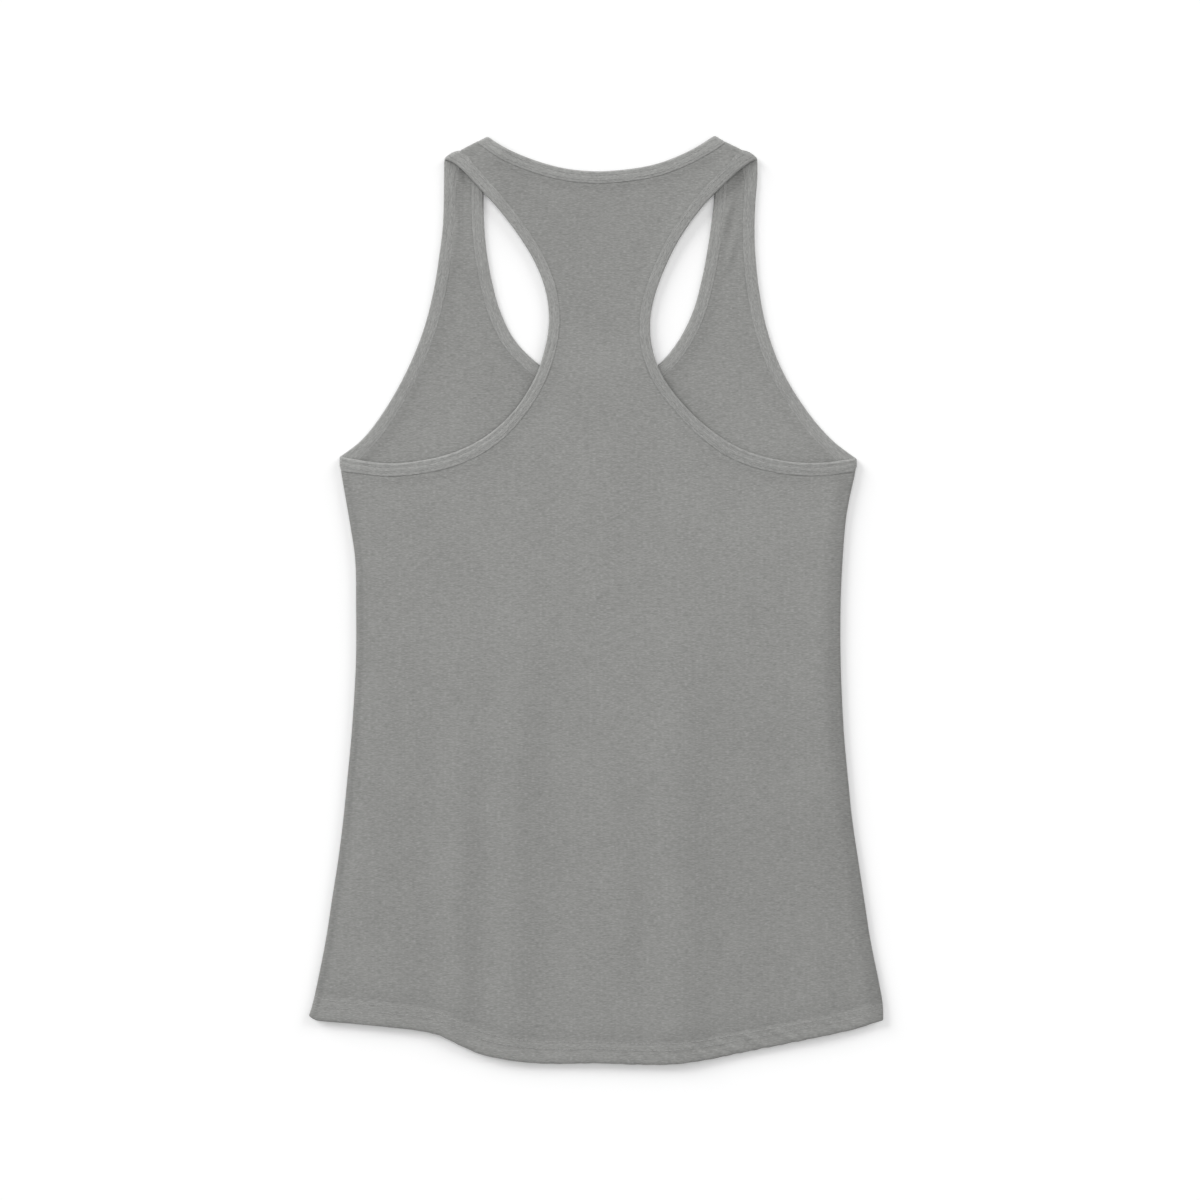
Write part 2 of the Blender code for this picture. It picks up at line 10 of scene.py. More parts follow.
import bpy
import numpy as np
from bpy.props import FloatProperty, FloatVectorProperty, PointerProperty
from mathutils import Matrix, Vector


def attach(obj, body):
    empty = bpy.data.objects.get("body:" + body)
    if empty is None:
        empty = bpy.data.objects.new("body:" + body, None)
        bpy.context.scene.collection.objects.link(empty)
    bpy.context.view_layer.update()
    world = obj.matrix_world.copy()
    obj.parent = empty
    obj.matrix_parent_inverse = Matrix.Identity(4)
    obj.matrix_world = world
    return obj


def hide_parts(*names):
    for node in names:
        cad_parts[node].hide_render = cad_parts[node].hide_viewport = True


bl_info = {
    "name": "Racerback Tank Top",
    "version": (1, 0, 0),
    "blender": (4, 5, 0),
    "location": "3D View > Sidebar > Tank Top",
    "description": "Builds a jersey racerback tank top, piece by piece, laid flat",
    "category": "Object",
}

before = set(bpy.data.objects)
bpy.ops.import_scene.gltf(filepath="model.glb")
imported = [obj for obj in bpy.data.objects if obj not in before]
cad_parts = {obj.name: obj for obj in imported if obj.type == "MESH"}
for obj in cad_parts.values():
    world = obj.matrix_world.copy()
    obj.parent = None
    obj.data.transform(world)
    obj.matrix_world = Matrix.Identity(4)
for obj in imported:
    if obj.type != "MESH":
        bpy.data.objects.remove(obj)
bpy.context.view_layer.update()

MM = 0.001
LENGTH = 682.7  # highest shoulder point to the lowest point of the hem

# The build of the garment
BAND_WALL = 2.2  # a band with the panel's edge inside it
BAND_WIDTH = 8.8
BAND_TURN = 18.0  # length over which a band swings round to meet a fold
# How a band's width on the back changes: drop where the change begins, where it is full, change
BAND_CHANGES = ((30, 60, -1.0), (195, 232, 1.7))
BAND_ENDS = (1.0, 0.5, 0.1)  # how far from its seam the last points of a band's outer face lie
BAND_ROLL = 0.3  # how much thinner a band is at its seam
BAND_ROLL_SPAN = (BAND_WIDTH - 2.6, BAND_WIDTH + 0.6)  # where that starts and is full
# Slow unevenness along a band: height, length of a radian, start in radians
BAND_WAVES = ((0.05, 5.3, 0.0), (0.03, 2.1, 1.0))
TUCK = 2.4  # how far a panel reaches into a band
TUCK_BLEND = (0.3, -1.0)  # distances from a seam over which a panel goes to mid height
SEAM_GAP = 0.3
FRONT_HEM_RISE = 2.0  # the front's hem ends this much above the back's
HEM_DEPTH = 17.5  # at the left side
HEM_NARROWING = 0.24  # share of its depth that the hem loses towards the right side
HEM_GAP = 0.1  # between a panel and its turned-up hem
HEM_RELIEF = 0.35  # how far the turned-up hem stands proud of the panel above it
HEM_STEP = (HEM_DEPTH + 1.6, HEM_DEPTH - 0.4)  # over its edge, where that starts and is full
HEM_GROOVE = (0.16, 0.55)  # along the back hem's stitching: depth, half width
PANEL_RISE = 1.2  # a panel's outer face over its underside
SEAM_RISE = {"back": 1.7, "front": 1.4}  # the same where it goes into a band
SEAM_BLEND = 7.0  # length over which a panel comes to that height
SEAM_REACH = 1.3  # how far from a band its seam draws the panel down
SHOULDER_BULGE = 1.3  # how far an armhole band bulges between its edge and seam in a fold
UNDERARM_BULGE = 0.8
HEM_DROOP = 0.55  # how far the back's hem bends down at its edge
HEM_DROOP_REACH = 6.0
SIDE_GROOVE = (4.4, 1.1)  # a side seam's groove: how far in from the fold, half width
SIDE_GROOVE_DEPTH = 0.25
STITCH_ROOM = 0.35  # how far the front's stitching draws its hem up from the floor
STITCH_REACH = 0.9
FOLD_RADIUS = (2 * BAND_WALL + SEAM_GAP) / 2  # where the layers turn over each other
FOLD_EASE = 14.0  # how far in from a fold the cloth still rises
BODY_LOFT = 1.1  # how much higher the back lies inside its folds
RIM_CLEAR = 0.48  # from the middle of a fold to each panel's rim
RIM_SET_IN = 1.1  # how far a rim lies in from the fold, inside a band
FOLD_RISE = 1.9  # a panel's outer face over its underside, beside a fold
SINK_START = 3.0  # from the edge of the open neckline inwards, the back sinks
SINK_END = 40.0
SPAN_HEIGHT = 1.4  # the back's underside over the floor where it spans the opening
ALLOWANCE = (0.0, 0.6, 1.4)  # how far a rim is turned in at its seam

# Shoulder fold: place, left, left drop, right, right drop
SHOULDER = {
    "armhole_edge": (111.9, 17.0, 118.8, 16.9),
    "armhole_seam": (99.4, 10.6, 106.6, 10.1),
    "neck_seam": (86.9, 4.0, 94.8, 4.3),
    "neck_edge": (79.7, 0.5, 87.2, -0.2),
}

# Side seam: drop, left, right
SIDE_SEAM = (
    (247, 187.2, 190.4), (267.5, 183.8, 186), (282, 181.3, 183.6), (311, 177, 181.2),
    (345, 176.3, 179.7), (385, 176.4, 179.7), (415, 177.9, 180.8), (444, 180, 182.5),
    (473, 182.8, 185.2), (503, 185.8, 188.3), (532, 189.5, 192.6), (561, 194, 197),
    (591, 198.6, 201.6), (620, 204.3, 207.5), (638, 208.3, 210.6),
)

# Hem between the side seams: across, drop
HEM = (
    (-211, 646.6), (-206, 649.6), (-198, 650.8), (-180, 652.3), (-150, 655.2), (-128, 657.9),
    (-114, 661.5), (-100, 668.2), (-85, 674.7), (-70, 678.2), (-50, 680.9), (-30, 681.9),
    (0, 681.4), (34, 682.5), (56, 682.2), (80, 679.2), (110, 673.1), (150, 665.1), (193, 655.7),
    (203, 652.1), (211, 649.8),
)

# Outer edge of the back neck band between the shoulder folds: across, drop
BACK_NECK = (
    (-70.5, 6.8), (-59, 12.6), (-41, 19.3), (-23.5, 23.8), (-5, 25.9), (10, 25.8), (38, 22.2),
    (56, 16.7), (73.5, 8.6),
)

# Outer edge of the front neck band below the shoulder fold: drop, left, right
FRONT_NECK = (
    (21, 82.2, 87.2), (44, 82.8, 87), (62, 82.5, 85.1), (84, 80.6, 81.9), (106, 76.8, 77.6),
    (128, 70.8, 71.6), (150, 59.9, 60.9), (169, 40.6, 44.8), (181, 20, 23.6),
)
FRONT_NECK_LOWEST = (1.6, 185.5)  # across, drop

# Outer edge of the front armhole bands: drop, left, right
FRONT_ARMHOLE = (
    (30, 111.8, 118.6), (48, 111.9, 117.2), (66, 112.6, 116.5), (84, 114.7, 116.9),
    (113, 119.3, 119.8), (142, 126.7, 125.6), (172, 138.8, 136.6), (201, 155, 154.2),
    (223, 171.8, 172.9),
)

# Outer edge of the back armhole bands: left, left drop, right, right drop
BACK_ARMHOLE = (
    (102.5, 21.8, 108.8, 22.8), (83, 41.6, 87.4, 42.4), (70.6, 55.2, 76.2, 54.6),
    (56.2, 74.2, 60.9, 76.4), (44.7, 93.4, 50, 98.4), (36.8, 114.8, 42.3, 120.6),
    (34.6, 136.8, 39.6, 139), (38.1, 158.8, 41.8, 158.8), (45.6, 179.4, 49.4, 177.8),
    (59.6, 201.4, 61.8, 194.8), (79.4, 219.8, 79.4, 212.4), (103.6, 232.4, 104.4, 229),
    (129.4, 238.8, 131.6, 237.8), (155.2, 240.6, 161, 240.4),
)
UNDERARM = (188.2, 235.8, 191.2, 237.2)  # outer edge where both armhole bands meet the side

# Soft folds in the lower back: across at top, across at hem, start drop, full drop,
# height, half width
SOFT_FOLDS = (
    (-152, -157, 340, 540, 1.1, 26), (-98, -101, 330, 540, 1.8, 14),
    (-56, -61, 270, 470, 1.7, 16.5), (10, 4, 380, 520, 1.2, 25), (20, 22, 420, 560, 0.4, 9),
    (60, 63, 310, 500, 2.1, 20), (160, 166, 300, 480, 0.7, 15),
)
FOLDS_END = 30.0  # height over the hem from which the soft folds die down
FOLDS_AT_HEM = 0.4  # share of their height that is left at the hem
HEM_SETTLE = 0.7  # how much closer to the front the back lies at its hem

# Creases in the front straps: across and drop at either end, height, half width
CREASES = (
    (103.5, 34, 91.5, 76, 1.2, 2.6), (105, 64, 95.5, 100, 1.2, 2.8), (108, 92, 98, 122, 0.5, 3.6),
    (-104, 22, -93, 47, 0.9, 3), (-106, 60, -92, 104, 0.7, 4.4),
)
# Along a crease its height follows part of a half wave: the share left out, the share taken
CREASE_ARCH = (0.1, 0.8)

# Waves of the hem's puckers: share of their height, length of a radian, how far they sway in
# radians, length of a radian of that sway
PUCKER_WAVES = ((1.0, 1.8, 1.3, 19.0), (0.6, 3.1, 2.0, 31.0))
PUCKER_FLOOR = -0.5  # share of their height at which the waves are cut off below
PUCKER_SLANT = 1.1  # how far the waves lean back across for each mm up
PUCKER_START = (0.0, 3.0)  # heights over the edge where they start and are full
PUCKER_END = (HEM_DEPTH + 2.0, HEM_DEPTH - 4.0)  # where they have died down, and are still full
# Where the hem is puckered most: across, half width, share of the waves' height
PUCKERED = ((-108, 20, 1.0), (-30, 22, 0.4), (38, 12, 0.4), (120, 58, 0.9))
PUCKERED_ELSEWHERE = 0.25

# Slow unevenness of cloth that has been smoothed out by hand: wavelength, heading in degrees,
# start in turns, height
RIPPLES = (
    (83, 8, 0.10, 0.08), (57, -21, 0.62, 0.06), (41, 37, 0.35, 0.04), (97, 78, 0.81, 0.07),
    (29, -64, 0.47, 0.03),
)
RIPPLE_SWAY = (6.0, 61.0, 9.0)  # sideways, length of a radian, shift in radians for each turn

# Stitching
BAND_STITCH_LINES = (2.9, 6.6)  # from a band's outer edge
BAND_GROOVE = 0.75  # half width of the groove along them
BAND_STITCHING = (0.35, 95, 215)  # least share of its depth, drops where that ends and it is full
HEM_STITCH_LINES = (10.4, 15.6)  # up from the hem's edge
# A stitch from end to end: place and lift as shares of its length and radius, share of its width
STITCH_PROFILE = (
    (-0.5, -0.8, 0.5), (-0.36, 0.1, 0.9), (0.0, 0.45, 1.0), (0.36, 0.1, 0.9), (0.5, -0.8, 0.5),
)
STITCH_SHARE = 0.86  # of the way to the next stitch that a stitch covers
STITCH_AIM = 0.2  # how far before and after a point of a stitch its direction is taken

# Painted shade beside a side fold, where the cloth turns away from the light: how far in the shade
# begins, where it is full, depth
SIDE_PAINTED_SHADES = {-1: ((12, 4, 0.04), (3, 0, 0.1)), 1: ((15, 4, 0.14), (4, 0, 0.05))}
SEAM_PAINTED_SHADE = 0.08  # painted shade in the groove of a side seam
# Painted light falloff down the garment and to the right: start, end, change
PAINTED_FALLOFF_DOWN = ((150, 230, 0.03), (230, 560, -0.06))
PAINTED_FALLOFF_RIGHT = (0, 160, -0.025)
# Painted light and shade at the hem, painted shade above it, a painted highlight on the turned-up
# hem and painted shade at its very edge: distance over its edge where the change begins, where it
# is full, change
HEM_PAINTED_LIGHT = ((36, 19, -0.02), (18.5, 16.5, 0.095), (4, 0, -0.06))

# Painted light and shade on a band where it lies on the back: its change in lightness there, and
# how much darker it is painted on top of the shoulder
BAND_PAINTED_LIGHT = {"neck": (0.045, 0.0), -1: (0.025, 0.04), 1: (-0.045, 0.06)}
BAND_PAINTED_LIGHT_SPAN = (FOLD_RADIUS - 1.0, FOLD_RADIUS + 1.0)  # heights where it starts and is full
SHOULDER_TOP = (36.0, 24.0)  # drops where the shoulder's top, with its painted shade, starts and is full

# Mesh density
SPAN_STEPS = 10  # straight steps between two points of a smooth curve
FINE_STEPS = 20  # steps between two points of an edge where it is cut off beside a fold
TANGENT_STEP = 0.004  # share of a curve on each side of a point, for its direction there
# An armhole's edge: along the skirt and up the racer, or up the chest and up the strap
ARMHOLE_STEPS = {"back": (62, 92), "front": (56, 76)}
ARMHOLE_SPLIT = {"back": 0.355, "front": 0.52}  # share of it where the second stretch starts
BACK_NECK_STEPS = 58
SHOULDER_STEPS = 6
FRONT_NECK_STEPS = (76, 76)  # along each strap, then round the scoop
CROWDING = 1.2  # 1 spaces a skirt's columns evenly, more crowds them at its sides
STRAP_STEPS = 16
BACK_SKIRT_ROWS = 170
FRONT_SKIRT_ROWS = 130
BAND_SPACING = 2.2  # between the sections of a band
SCOOP_SPLIT = 0.31  # share of the front neckline along each strap
RELAX_ROUNDS = 160
HEM_ROWS = (0.0, 0.8, 2.2, 4.0, 6.0, 8.0, 9.5, 11.0, 13.0, 14.7, 16.2, 17.5, 18.5, 20.0)
STITCHED_ROWS = (6, 9)
TURNED_ROWS = 12  # rows of the hem that have turned-up cloth behind them
TURN_ANGLES = (30, 60, 90, 120, 150)  # round a folded edge
ROLL_ANGLES = (4, 14, 26, 39, 52, 65, 78, 90)  # round a side fold
INNER_POINTS = 7  # across a band's inner face
OUTER_POINTS = 15  # across its outer face, up to BAND_ENDS
FOLD_STATIONS = 9  # sections of a band round a fold
THREAD_SIDES = 6
WELD = 0.02  # points of a piece of cloth closer than this become one
SMOOTH_ANGLE = 50.0  # up to this, the shading of a cloth's faces runs on
CHUNK = 3000  # points measured at a time

# Heather's fibres, streaks, slubs and clouds: across and up in mm, detail, share of the blend
HEATHER = (
    (2.5, 0.62, 1.0, 1.1), (4.9, 0.82, 1.0, 0.9), (12.0, 1.9, 0.0, 0.35), (46.0, 38.0, 1.0, 0.2),
)
FLECKS = (2.8, 0.6, 0.0, 2.4)  # the same for the lightest fibres
FLECK_START = 0.6  # how strong the noise is where they start
EVEN_BLEND = 0.43  # how far the cloth is from its dark to its light fibre without all of these
# Jersey's face: courses in a loop's width, how much a loop's legs slant, and its height away from
# its legs and in them
KNIT = (1.25, 0.5, 0.6, 0.4)
FIBRE_RELIEF = 0.8  # of the fibres, as a share of a loop's
JERSEY_FINISH = {
    "Roughness": 0.92, "Specular IOR Level": 0.25, "Sheen Weight": 0.12, "Sheen Roughness": 0.5,
}
JERSEY_BUMP = (0.55, 0.00008)  # strength, height in metres
THREAD_SHADES = (0.8, 1.15)  # shares of its colour in the dark and light of its fibre
THREAD_BUMP = (0.4, 0.00004)
THREAD_NOISE = ((900.0, 2.0), (2400.0, 1.0))  # its fibre and its twist: scale, detail
THREAD_ROUGHNESS = 0.7
FLOOR_FINISH = {"Roughness": 0.9, "Specular IOR Level": 0.1}

# Lights, all far away: name, direction towards them, energy, angle across in radians
LIGHTS = (
    ("upper_left", (-2.16, 1.81, 1.03), 2.59, 0.6),
    ("upper_right", (2.16, 1.81, 1.03), 1.46, 0.6),
    ("overhead", (0.0, 0.0, 3.0), 1.01, 1.0),
)
ROOM_LIGHT = 0.333
FLOOR_SIZE = 20.0  # the floor and the view are in metres
FLOOR_HEIGHT = -0.0003
VIEW_WIDTH = 0.882  # at the height of its middle
VIEW_MIDDLE = (0.0029, 0.0003, 0.0015)
VIEW_REACH = 20.0  # how far the camera sees
LENS = 100.0  # this and the sensor are in mm
SENSOR = 36.0


# ---- plan curves


def plan(across, drop):
    """A point of the plan from its place across and its drop."""
    return np.array((across, LENGTH / 2 - drop))


def drop_of(points):
    return LENGTH / 2 - points[:, 1]


def on_side(sign, row):
    """The left (-1) or right (1) point of a row of left, left drop, right, right drop."""
    return plan(-row[0], row[1]) if sign < 0 else plan(row[2], row[3])


def column(sign, row):
    """The left (-1) or right (1) point of a row of drop, left, right."""
    return plan(-row[1], row[0]) if sign < 0 else plan(row[2], row[0])


def part_way(first, second, start, end, t):
    """The point at t, where the first point is at start and the second at end."""
    return (first * (end - t) + second * (t - start)) / (end - start)


def smooth(points):
    """A smooth curve through the points, as many short straight steps."""
    points = np.array(points)
    padded = np.vstack((2 * points[0] - points[1], points, 2 * points[-1] - points[-2]))
    gaps = np.linalg.norm(np.diff(padded, axis=0), axis=1) ** 0.5
    knots = np.append(0.0, np.cumsum(gaps))
    curve = []
    for i in range(len(points) - 1):
        p, k = padded[i : i + 4], knots[i : i + 4]
        for t in np.linspace(k[1], k[2], SPAN_STEPS, endpoint=False):
            a = [part_way(p[j], p[j + 1], k[j], k[j + 1], t) for j in range(3)]
            b = [part_way(a[j], a[j + 1], k[j], k[j + 2], t) for j in range(2)]
            curve.append(part_way(*b, k[1], k[2], t))
    curve.append(points[-1])
    return np.array(curve)


def lengths(line):
    """The distance along a line at each of its points."""
    steps = np.linalg.norm(np.diff(line, axis=0), axis=1)
    return np.append(0.0, np.cumsum(steps))


def shares_of(line):
    along = lengths(line)
    return along / along[-1]


def at_lengths(line, along, wanted):
    """The places at the wanted lengths on a line whose own points lie at along."""
    return np.column_stack([np.interp(wanted, along, axis) for axis in line.T])


def at_shares(curve, shares):
    """The points of a curve at the given shares of its length."""
    along = lengths(curve)
    return at_lengths(curve, along, shares * along[-1])


def unit(vectors):
    """The vectors at length 1."""
    return vectors / np.linalg.norm(vectors, axis=-1, keepdims=True)


def square(direction):
    """The direction turned a quarter turn to the left, at length 1."""
    return unit(np.stack((-direction[..., 1], direction[..., 0]), axis=-1))


def split_steps(split, steps, ends=(0.0, 1.0)):
    """Shares along a curve with the given steps on each side of its split."""
    lower = np.linspace(ends[0], split, steps[0] + 1)
    upper = np.linspace(split, ends[1], steps[1] + 1)
    return np.concatenate((lower, upper[1:]))


def ease(start, end, value):
    """A smooth step from 0 at start to 1 at end."""
    t = np.clip((value - start) / (end - start), 0.0, 1.0)
    return t * t * (3 - 2 * t)


def bell(away, half_width):
    """1 in the middle, and smoothly down to nothing on both sides."""
    return np.exp(-((away / half_width) ** 2))


def distance(curve, points):
    """The distance from each point to the curve."""
    a, run = curve[:-1], np.diff(curve, axis=0)
    squares = (run * run).sum(1)
    found = []
    for start in range(0, len(points), CHUNK):
        offset = points[start : start + CHUNK, None, :] - a[None]
        t = np.clip((offset * run).sum(2) / squares, 0.0, 1.0)
        found.append(np.linalg.norm(offset - t[..., None] * run, axis=2).min(1))
    return np.concatenate(found)


def inside(curve, points):
    """Which points lie within the curve, closed by a straight line."""
    a, b = curve, np.roll(curve, -1, axis=0)
    x, y = points[:, 0][:, None], points[:, 1][:, None]
    crosses = (a[:, 1] > y) != (b[:, 1] > y)
    rise = np.where(b[:, 1] == a[:, 1], 1.0, b[:, 1] - a[:, 1])
    at_x = a[:, 0] + (y - a[:, 1]) * (b[:, 0] - a[:, 0]) / rise
    return (crosses & (x < at_x)).sum(1) % 2 == 1


# ---- the garment's edges


def shoulder_point(sign, place):
    return on_side(sign, SHOULDER[place])


def side_curve(sign):
    """The side fold from the armhole bands' outer edge down to the hem."""
    corner = plan(*(HEM[0] if sign < 0 else HEM[-1]))
    rows = [column(sign, row) for row in SIDE_SEAM]
    return smooth([on_side(sign, UNDERARM), *rows, corner])


def shoulder_line(sign):
    return np.array([shoulder_point(sign, place) for place in SHOULDER])


def hem_curve(rise):
    return smooth([plan(*row) for row in HEM]) + np.array((0.0, rise))


def neck_curve(layer):
    """A neck band's outer edge, from the left shoulder fold to the right one."""
    if layer == "back":
        points = [plan(*row) for row in BACK_NECK]
    else:
        left, right = ([column(sign, row) for row in FRONT_NECK] for sign in (-1, 1))
        points = [*left, plan(*FRONT_NECK_LOWEST), *reversed(right)]
    ends = [shoulder_point(sign, "neck_edge") for sign in (-1, 1)]
    return smooth([ends[0], *points, ends[1]])


def armhole_curve(sign, layer):
    """An armhole band's outer edge, from the side fold up to the shoulder fold."""
    rows, take = {"back": (BACK_ARMHOLE, on_side), "front": (FRONT_ARMHOLE, column)}[layer]
    points = [take(sign, row) for row in reversed(rows)]
    return smooth([on_side(sign, UNDERARM), *points, shoulder_point(sign, "armhole_edge")])


def leave_fold(curve, inward):
    """The curve from the point where it leaves the turn of the fold that it starts in."""
    reach = (curve - curve[0]) @ inward
    first = np.argmax(reach >= FOLD_RADIUS)
    share = (FOLD_RADIUS - reach[first - 1]) / (reach[first] - reach[first - 1])
    start = curve[first - 1] + (curve[first] - curve[first - 1]) * share
    return np.vstack((start, curve[first:]))


def band_width(points, layer):
    """A band's width beside points of the plan."""
    width = np.full(len(points), BAND_WIDTH)
    if layer == "back":
        for start, full, change in BAND_CHANGES:
            width += change * ease(start, full, drop_of(points))
    return width


def hem_share(points):
    """The hem's depth beside points of the plan, as a share of HEM_DEPTH."""
    left, right = HEM[0][0], HEM[-1][0]
    return 1 - HEM_NARROWING * np.clip((points[:, 0] - left) / (right - left), 0, 1)


def over_hem(points, rise):
    """How high points lie over a hem's edge, stretched to a hem that is HEM_DEPTH deep."""
    return distance(hem_curve(rise), points) / hem_share(points)


class Band:
    """Half of a band: its outer edge, its seam and the edge of the panel inside it.

    edge, seam and panel_edge run between the points where the cloth leaves the turn of the
    folds at their ends. edges, seams and rims hold the same three places in each fold.
    """

    def __init__(self, curve, shares, layer, cloth_side, seams):
        """cloth_side is 1 where the panel lies left of the curve, -1 where it lies right."""
        self.edges = curve[0], curve[-1]
        self.seams = seams
        self.rims, inwards = [], []
        for edge, seam in zip(self.edges, seams):
            along = unit(seam - edge)
            inward = square(along)
            if inward @ (curve[len(curve) // 2] - edge) < 0:
                inward = -inward
            inwards.append(inward)
            self.rims.append(seam - along * TUCK + inward * RIM_SET_IN)
        curve = leave_fold(leave_fold(curve, inwards[0])[::-1], inwards[1])[::-1]
        self.edge = at_shares(curve, shares)
        before = at_shares(curve, np.clip(shares - TANGENT_STEP, 0, 1))
        after = at_shares(curve, np.clip(shares + TANGENT_STEP, 0, 1))
        across = square(after - before) * cloth_side * band_width(self.edge, layer)[:, None]
        along = shares * lengths(curve)[-1]
        for end, reach in ((0, along), (-1, along[-1] - along)):
            share = (1 - ease(0.0, BAND_TURN, reach))[:, None]
            seam = seams[end] + inwards[end] * FOLD_RADIUS
            across = across * (1 - share) + (seam - self.edge[end]) * share
        self.seam = self.edge + across
        self.panel_edge = self.seam - unit(across) * TUCK


def even_shares(curve):
    """Shares along a curve for the sections of a band."""
    return np.linspace(0, 1, round(lengths(curve)[-1] / BAND_SPACING) + 1)


def armhole_band(sign, layer, even=False):
    """The back or front half of an armhole band, from the side fold to the shoulder fold.

    Its points are even for the band's own sections, or else match the panel's rows.
    """
    curve = armhole_curve(sign, layer)
    if even:
        shares = even_shares(curve)
    else:
        split, steps = ARMHOLE_SPLIT[layer], ARMHOLE_STEPS[layer]
        shares = split_steps(split, steps)
        shares[: steps[0] + 1] = split * np.linspace(0, 1, steps[0] + 1) ** CROWDING
    seams = column(sign, SIDE_SEAM[0]), shoulder_point(sign, "armhole_seam")
    return Band(curve, shares, layer, sign, seams)


def neck_band(layer, even=False):
    """The back or front half of the neck band, from the left fold to the right one."""
    curve = neck_curve(layer)
    if even:
        shares = even_shares(curve)
    elif layer == "back":
        shares = np.linspace(0, 1, BACK_NECK_STEPS + 1)
    else:
        strap, scoop = FRONT_NECK_STEPS
        lower = split_steps(SCOOP_SPLIT, (strap, scoop), (0.0, 1 - SCOOP_SPLIT))
        shares = np.concatenate((lower, np.linspace(1 - SCOOP_SPLIT, 1, strap + 1)[1:]))
    seams = [shoulder_point(sign, "neck_seam") for sign in (-1, 1)]
    return Band(curve, shares, layer, -1, seams)


# ---- how the cloth lies


class Lie:
    """How high each layer lies over the floor, in mm, at points of the plan."""

    def __init__(self, sizes):
        self.sizes = sizes
        self.folds = {("side", sign): side_curve(sign) for sign in (-1, 1)}
        self.folds |= {("shoulder", sign): shoulder_line(sign) for sign in (-1, 1)}
        self.neckline = neck_curve("front")
        self.hem = hem_curve(0.0)

    def to_fold(self, points):
        """The distance to the nearest fold at a side or shoulder."""
        return np.min([distance(fold, points) for fold in self.folds.values()], axis=0)

    def turn(self, points):
        """0 at a fold's outermost line, 1 where the cloth leaves its turn."""
        inward = np.clip(1 - self.to_fold(points) / FOLD_RADIUS, 0, 1)
        return np.sqrt(1 - inward**2)

    def inland(self, points):
        """0 where the cloth leaves a fold's turn, 1 where it no longer rises."""
        return ease(FOLD_RADIUS, FOLD_RADIUS + FOLD_EASE, self.to_fold(points))

    def loft(self, points):
        """How much the soft folds and the slow unevenness lift the back."""
        drop = drop_of(points)
        folds = ripples(points)
        for top, hem, start, full, rise, half_width in SOFT_FOLDS:
            middle = top + (hem - top) * np.clip((drop - start) / (LENGTH - start), 0, 1)
            ridge = bell(points[:, 0] - middle, half_width)
            folds += rise * self.sizes.fold_height * ridge * ease(start, full, drop)
        near_hem = ease(FOLDS_END, 0.0, distance(self.hem, points))
        return BODY_LOFT - HEM_SETTLE * near_hem + folds * (1 - (1 - FOLDS_AT_HEM) * near_hem)

    def under_back(self, points):
        """The underside of the back layer, away from the folds' turn."""
        over_hole = np.where(inside(self.neckline, points), distance(self.neckline, points), 0.0)
        resting = SEAM_GAP + BAND_WALL + self.inland(points) * self.loft(points)
        return resting + (SPAN_HEIGHT - resting) * ease(SINK_START, SINK_END, over_hole)

    def back_outside(self, points):
        """The outer face of the back panel."""
        free = PANEL_RISE + self.hem_relief(points) - FOLD_RISE
        rise = FOLD_RISE + free * self.inland(points)
        rise -= SIDE_GROOVE_DEPTH * self.side_groove(points, -1)
        flat = self.under_back(points) + self.at_bands(points, "back", rise)
        rim = FOLD_RADIUS + RIM_CLEAR
        in_turn = self.to_fold(points) < FOLD_RADIUS
        return np.where(in_turn, rim + (flat - rim) * self.turn(points), flat)

    def front_outside(self, points):
        """The outer face of the front panel, which lies on the floor."""
        lift = np.maximum(creases(points) + ripples(points), 0.0)
        lift += SIDE_GROOVE_DEPTH * self.side_groove(points, 1)
        up = over_hem(points, FRONT_HEM_RISE)
        for line in HEM_STITCH_LINES:
            lift += STITCH_ROOM * bell(up - line, STITCH_REACH)
        flat = BAND_WALL - self.at_bands(points, "front", BAND_WALL, -lift)
        rim = FOLD_RADIUS - RIM_CLEAR
        return rim + (flat - rim) * self.turn(points)

    def at_bands(self, points, layer, rise, lift=0.0):
        """A panel's rise, from where it is free to a band's seam and at mid height inside it.

        lift is what is added to it up to the seam.
        """
        curves = [armhole_curve(sign, layer) for sign in (-1, 1)] + [neck_curve(layer)]
        to_edge = np.min([distance(curve, points) for curve in curves], axis=0)
        from_seam = to_edge - band_width(points, layer)
        in_band = ease(*TUCK_BLEND, from_seam)
        dip = self.sizes.seam_dip / MM * bell(from_seam, SEAM_REACH)
        middle = (BAND_WALL + self.sizes.wall / MM) / 2
        beside = ease(SEAM_BLEND, 0.0, from_seam)
        free = rise + (SEAM_RISE[layer] - rise) * beside - dip + lift
        return free * (1 - in_band) + middle * in_band

    def side_groove(self, points, sign):
        """A side seam's groove beside its fold: 1 along its middle, 0 away from it."""
        place, half_width = SIDE_GROOVE
        return bell(distance(self.folds["side", sign], points) - place, half_width)

    def hem_relief(self, points):
        """How the back's turned-up hem stands proud, puckers, droops and dips at its stitching."""
        up = over_hem(points, 0.0)
        relief = HEM_RELIEF * ease(*HEM_STEP, up) + self.pucker(points, up)
        depth, half_width = HEM_GROOVE
        for line in HEM_STITCH_LINES:
            relief -= depth * bell(up - line, half_width)
        return relief - HEM_DROOP * np.clip(1 - up / HEM_DROOP_REACH, 0.0, 1.0) ** 2

    def pucker(self, points, up):
        """Small slanting waves between the hem's edge and its stitching."""
        x = points[:, 0] + PUCKER_SLANT * up
        wave = np.zeros(len(points))
        for share, length, sway, reach in PUCKER_WAVES:
            wave += share * np.sin(x / length + sway * np.sin(x / reach))
        strength = np.full(len(points), PUCKERED_ELSEWHERE)
        for place, half_width, share in PUCKERED:
            strength += share * bell(x - place, half_width)
        window = ease(*PUCKER_START, up) * ease(*PUCKER_END, up)
        return self.sizes.pucker / MM * np.maximum(wave, PUCKER_FLOOR) * strength * window


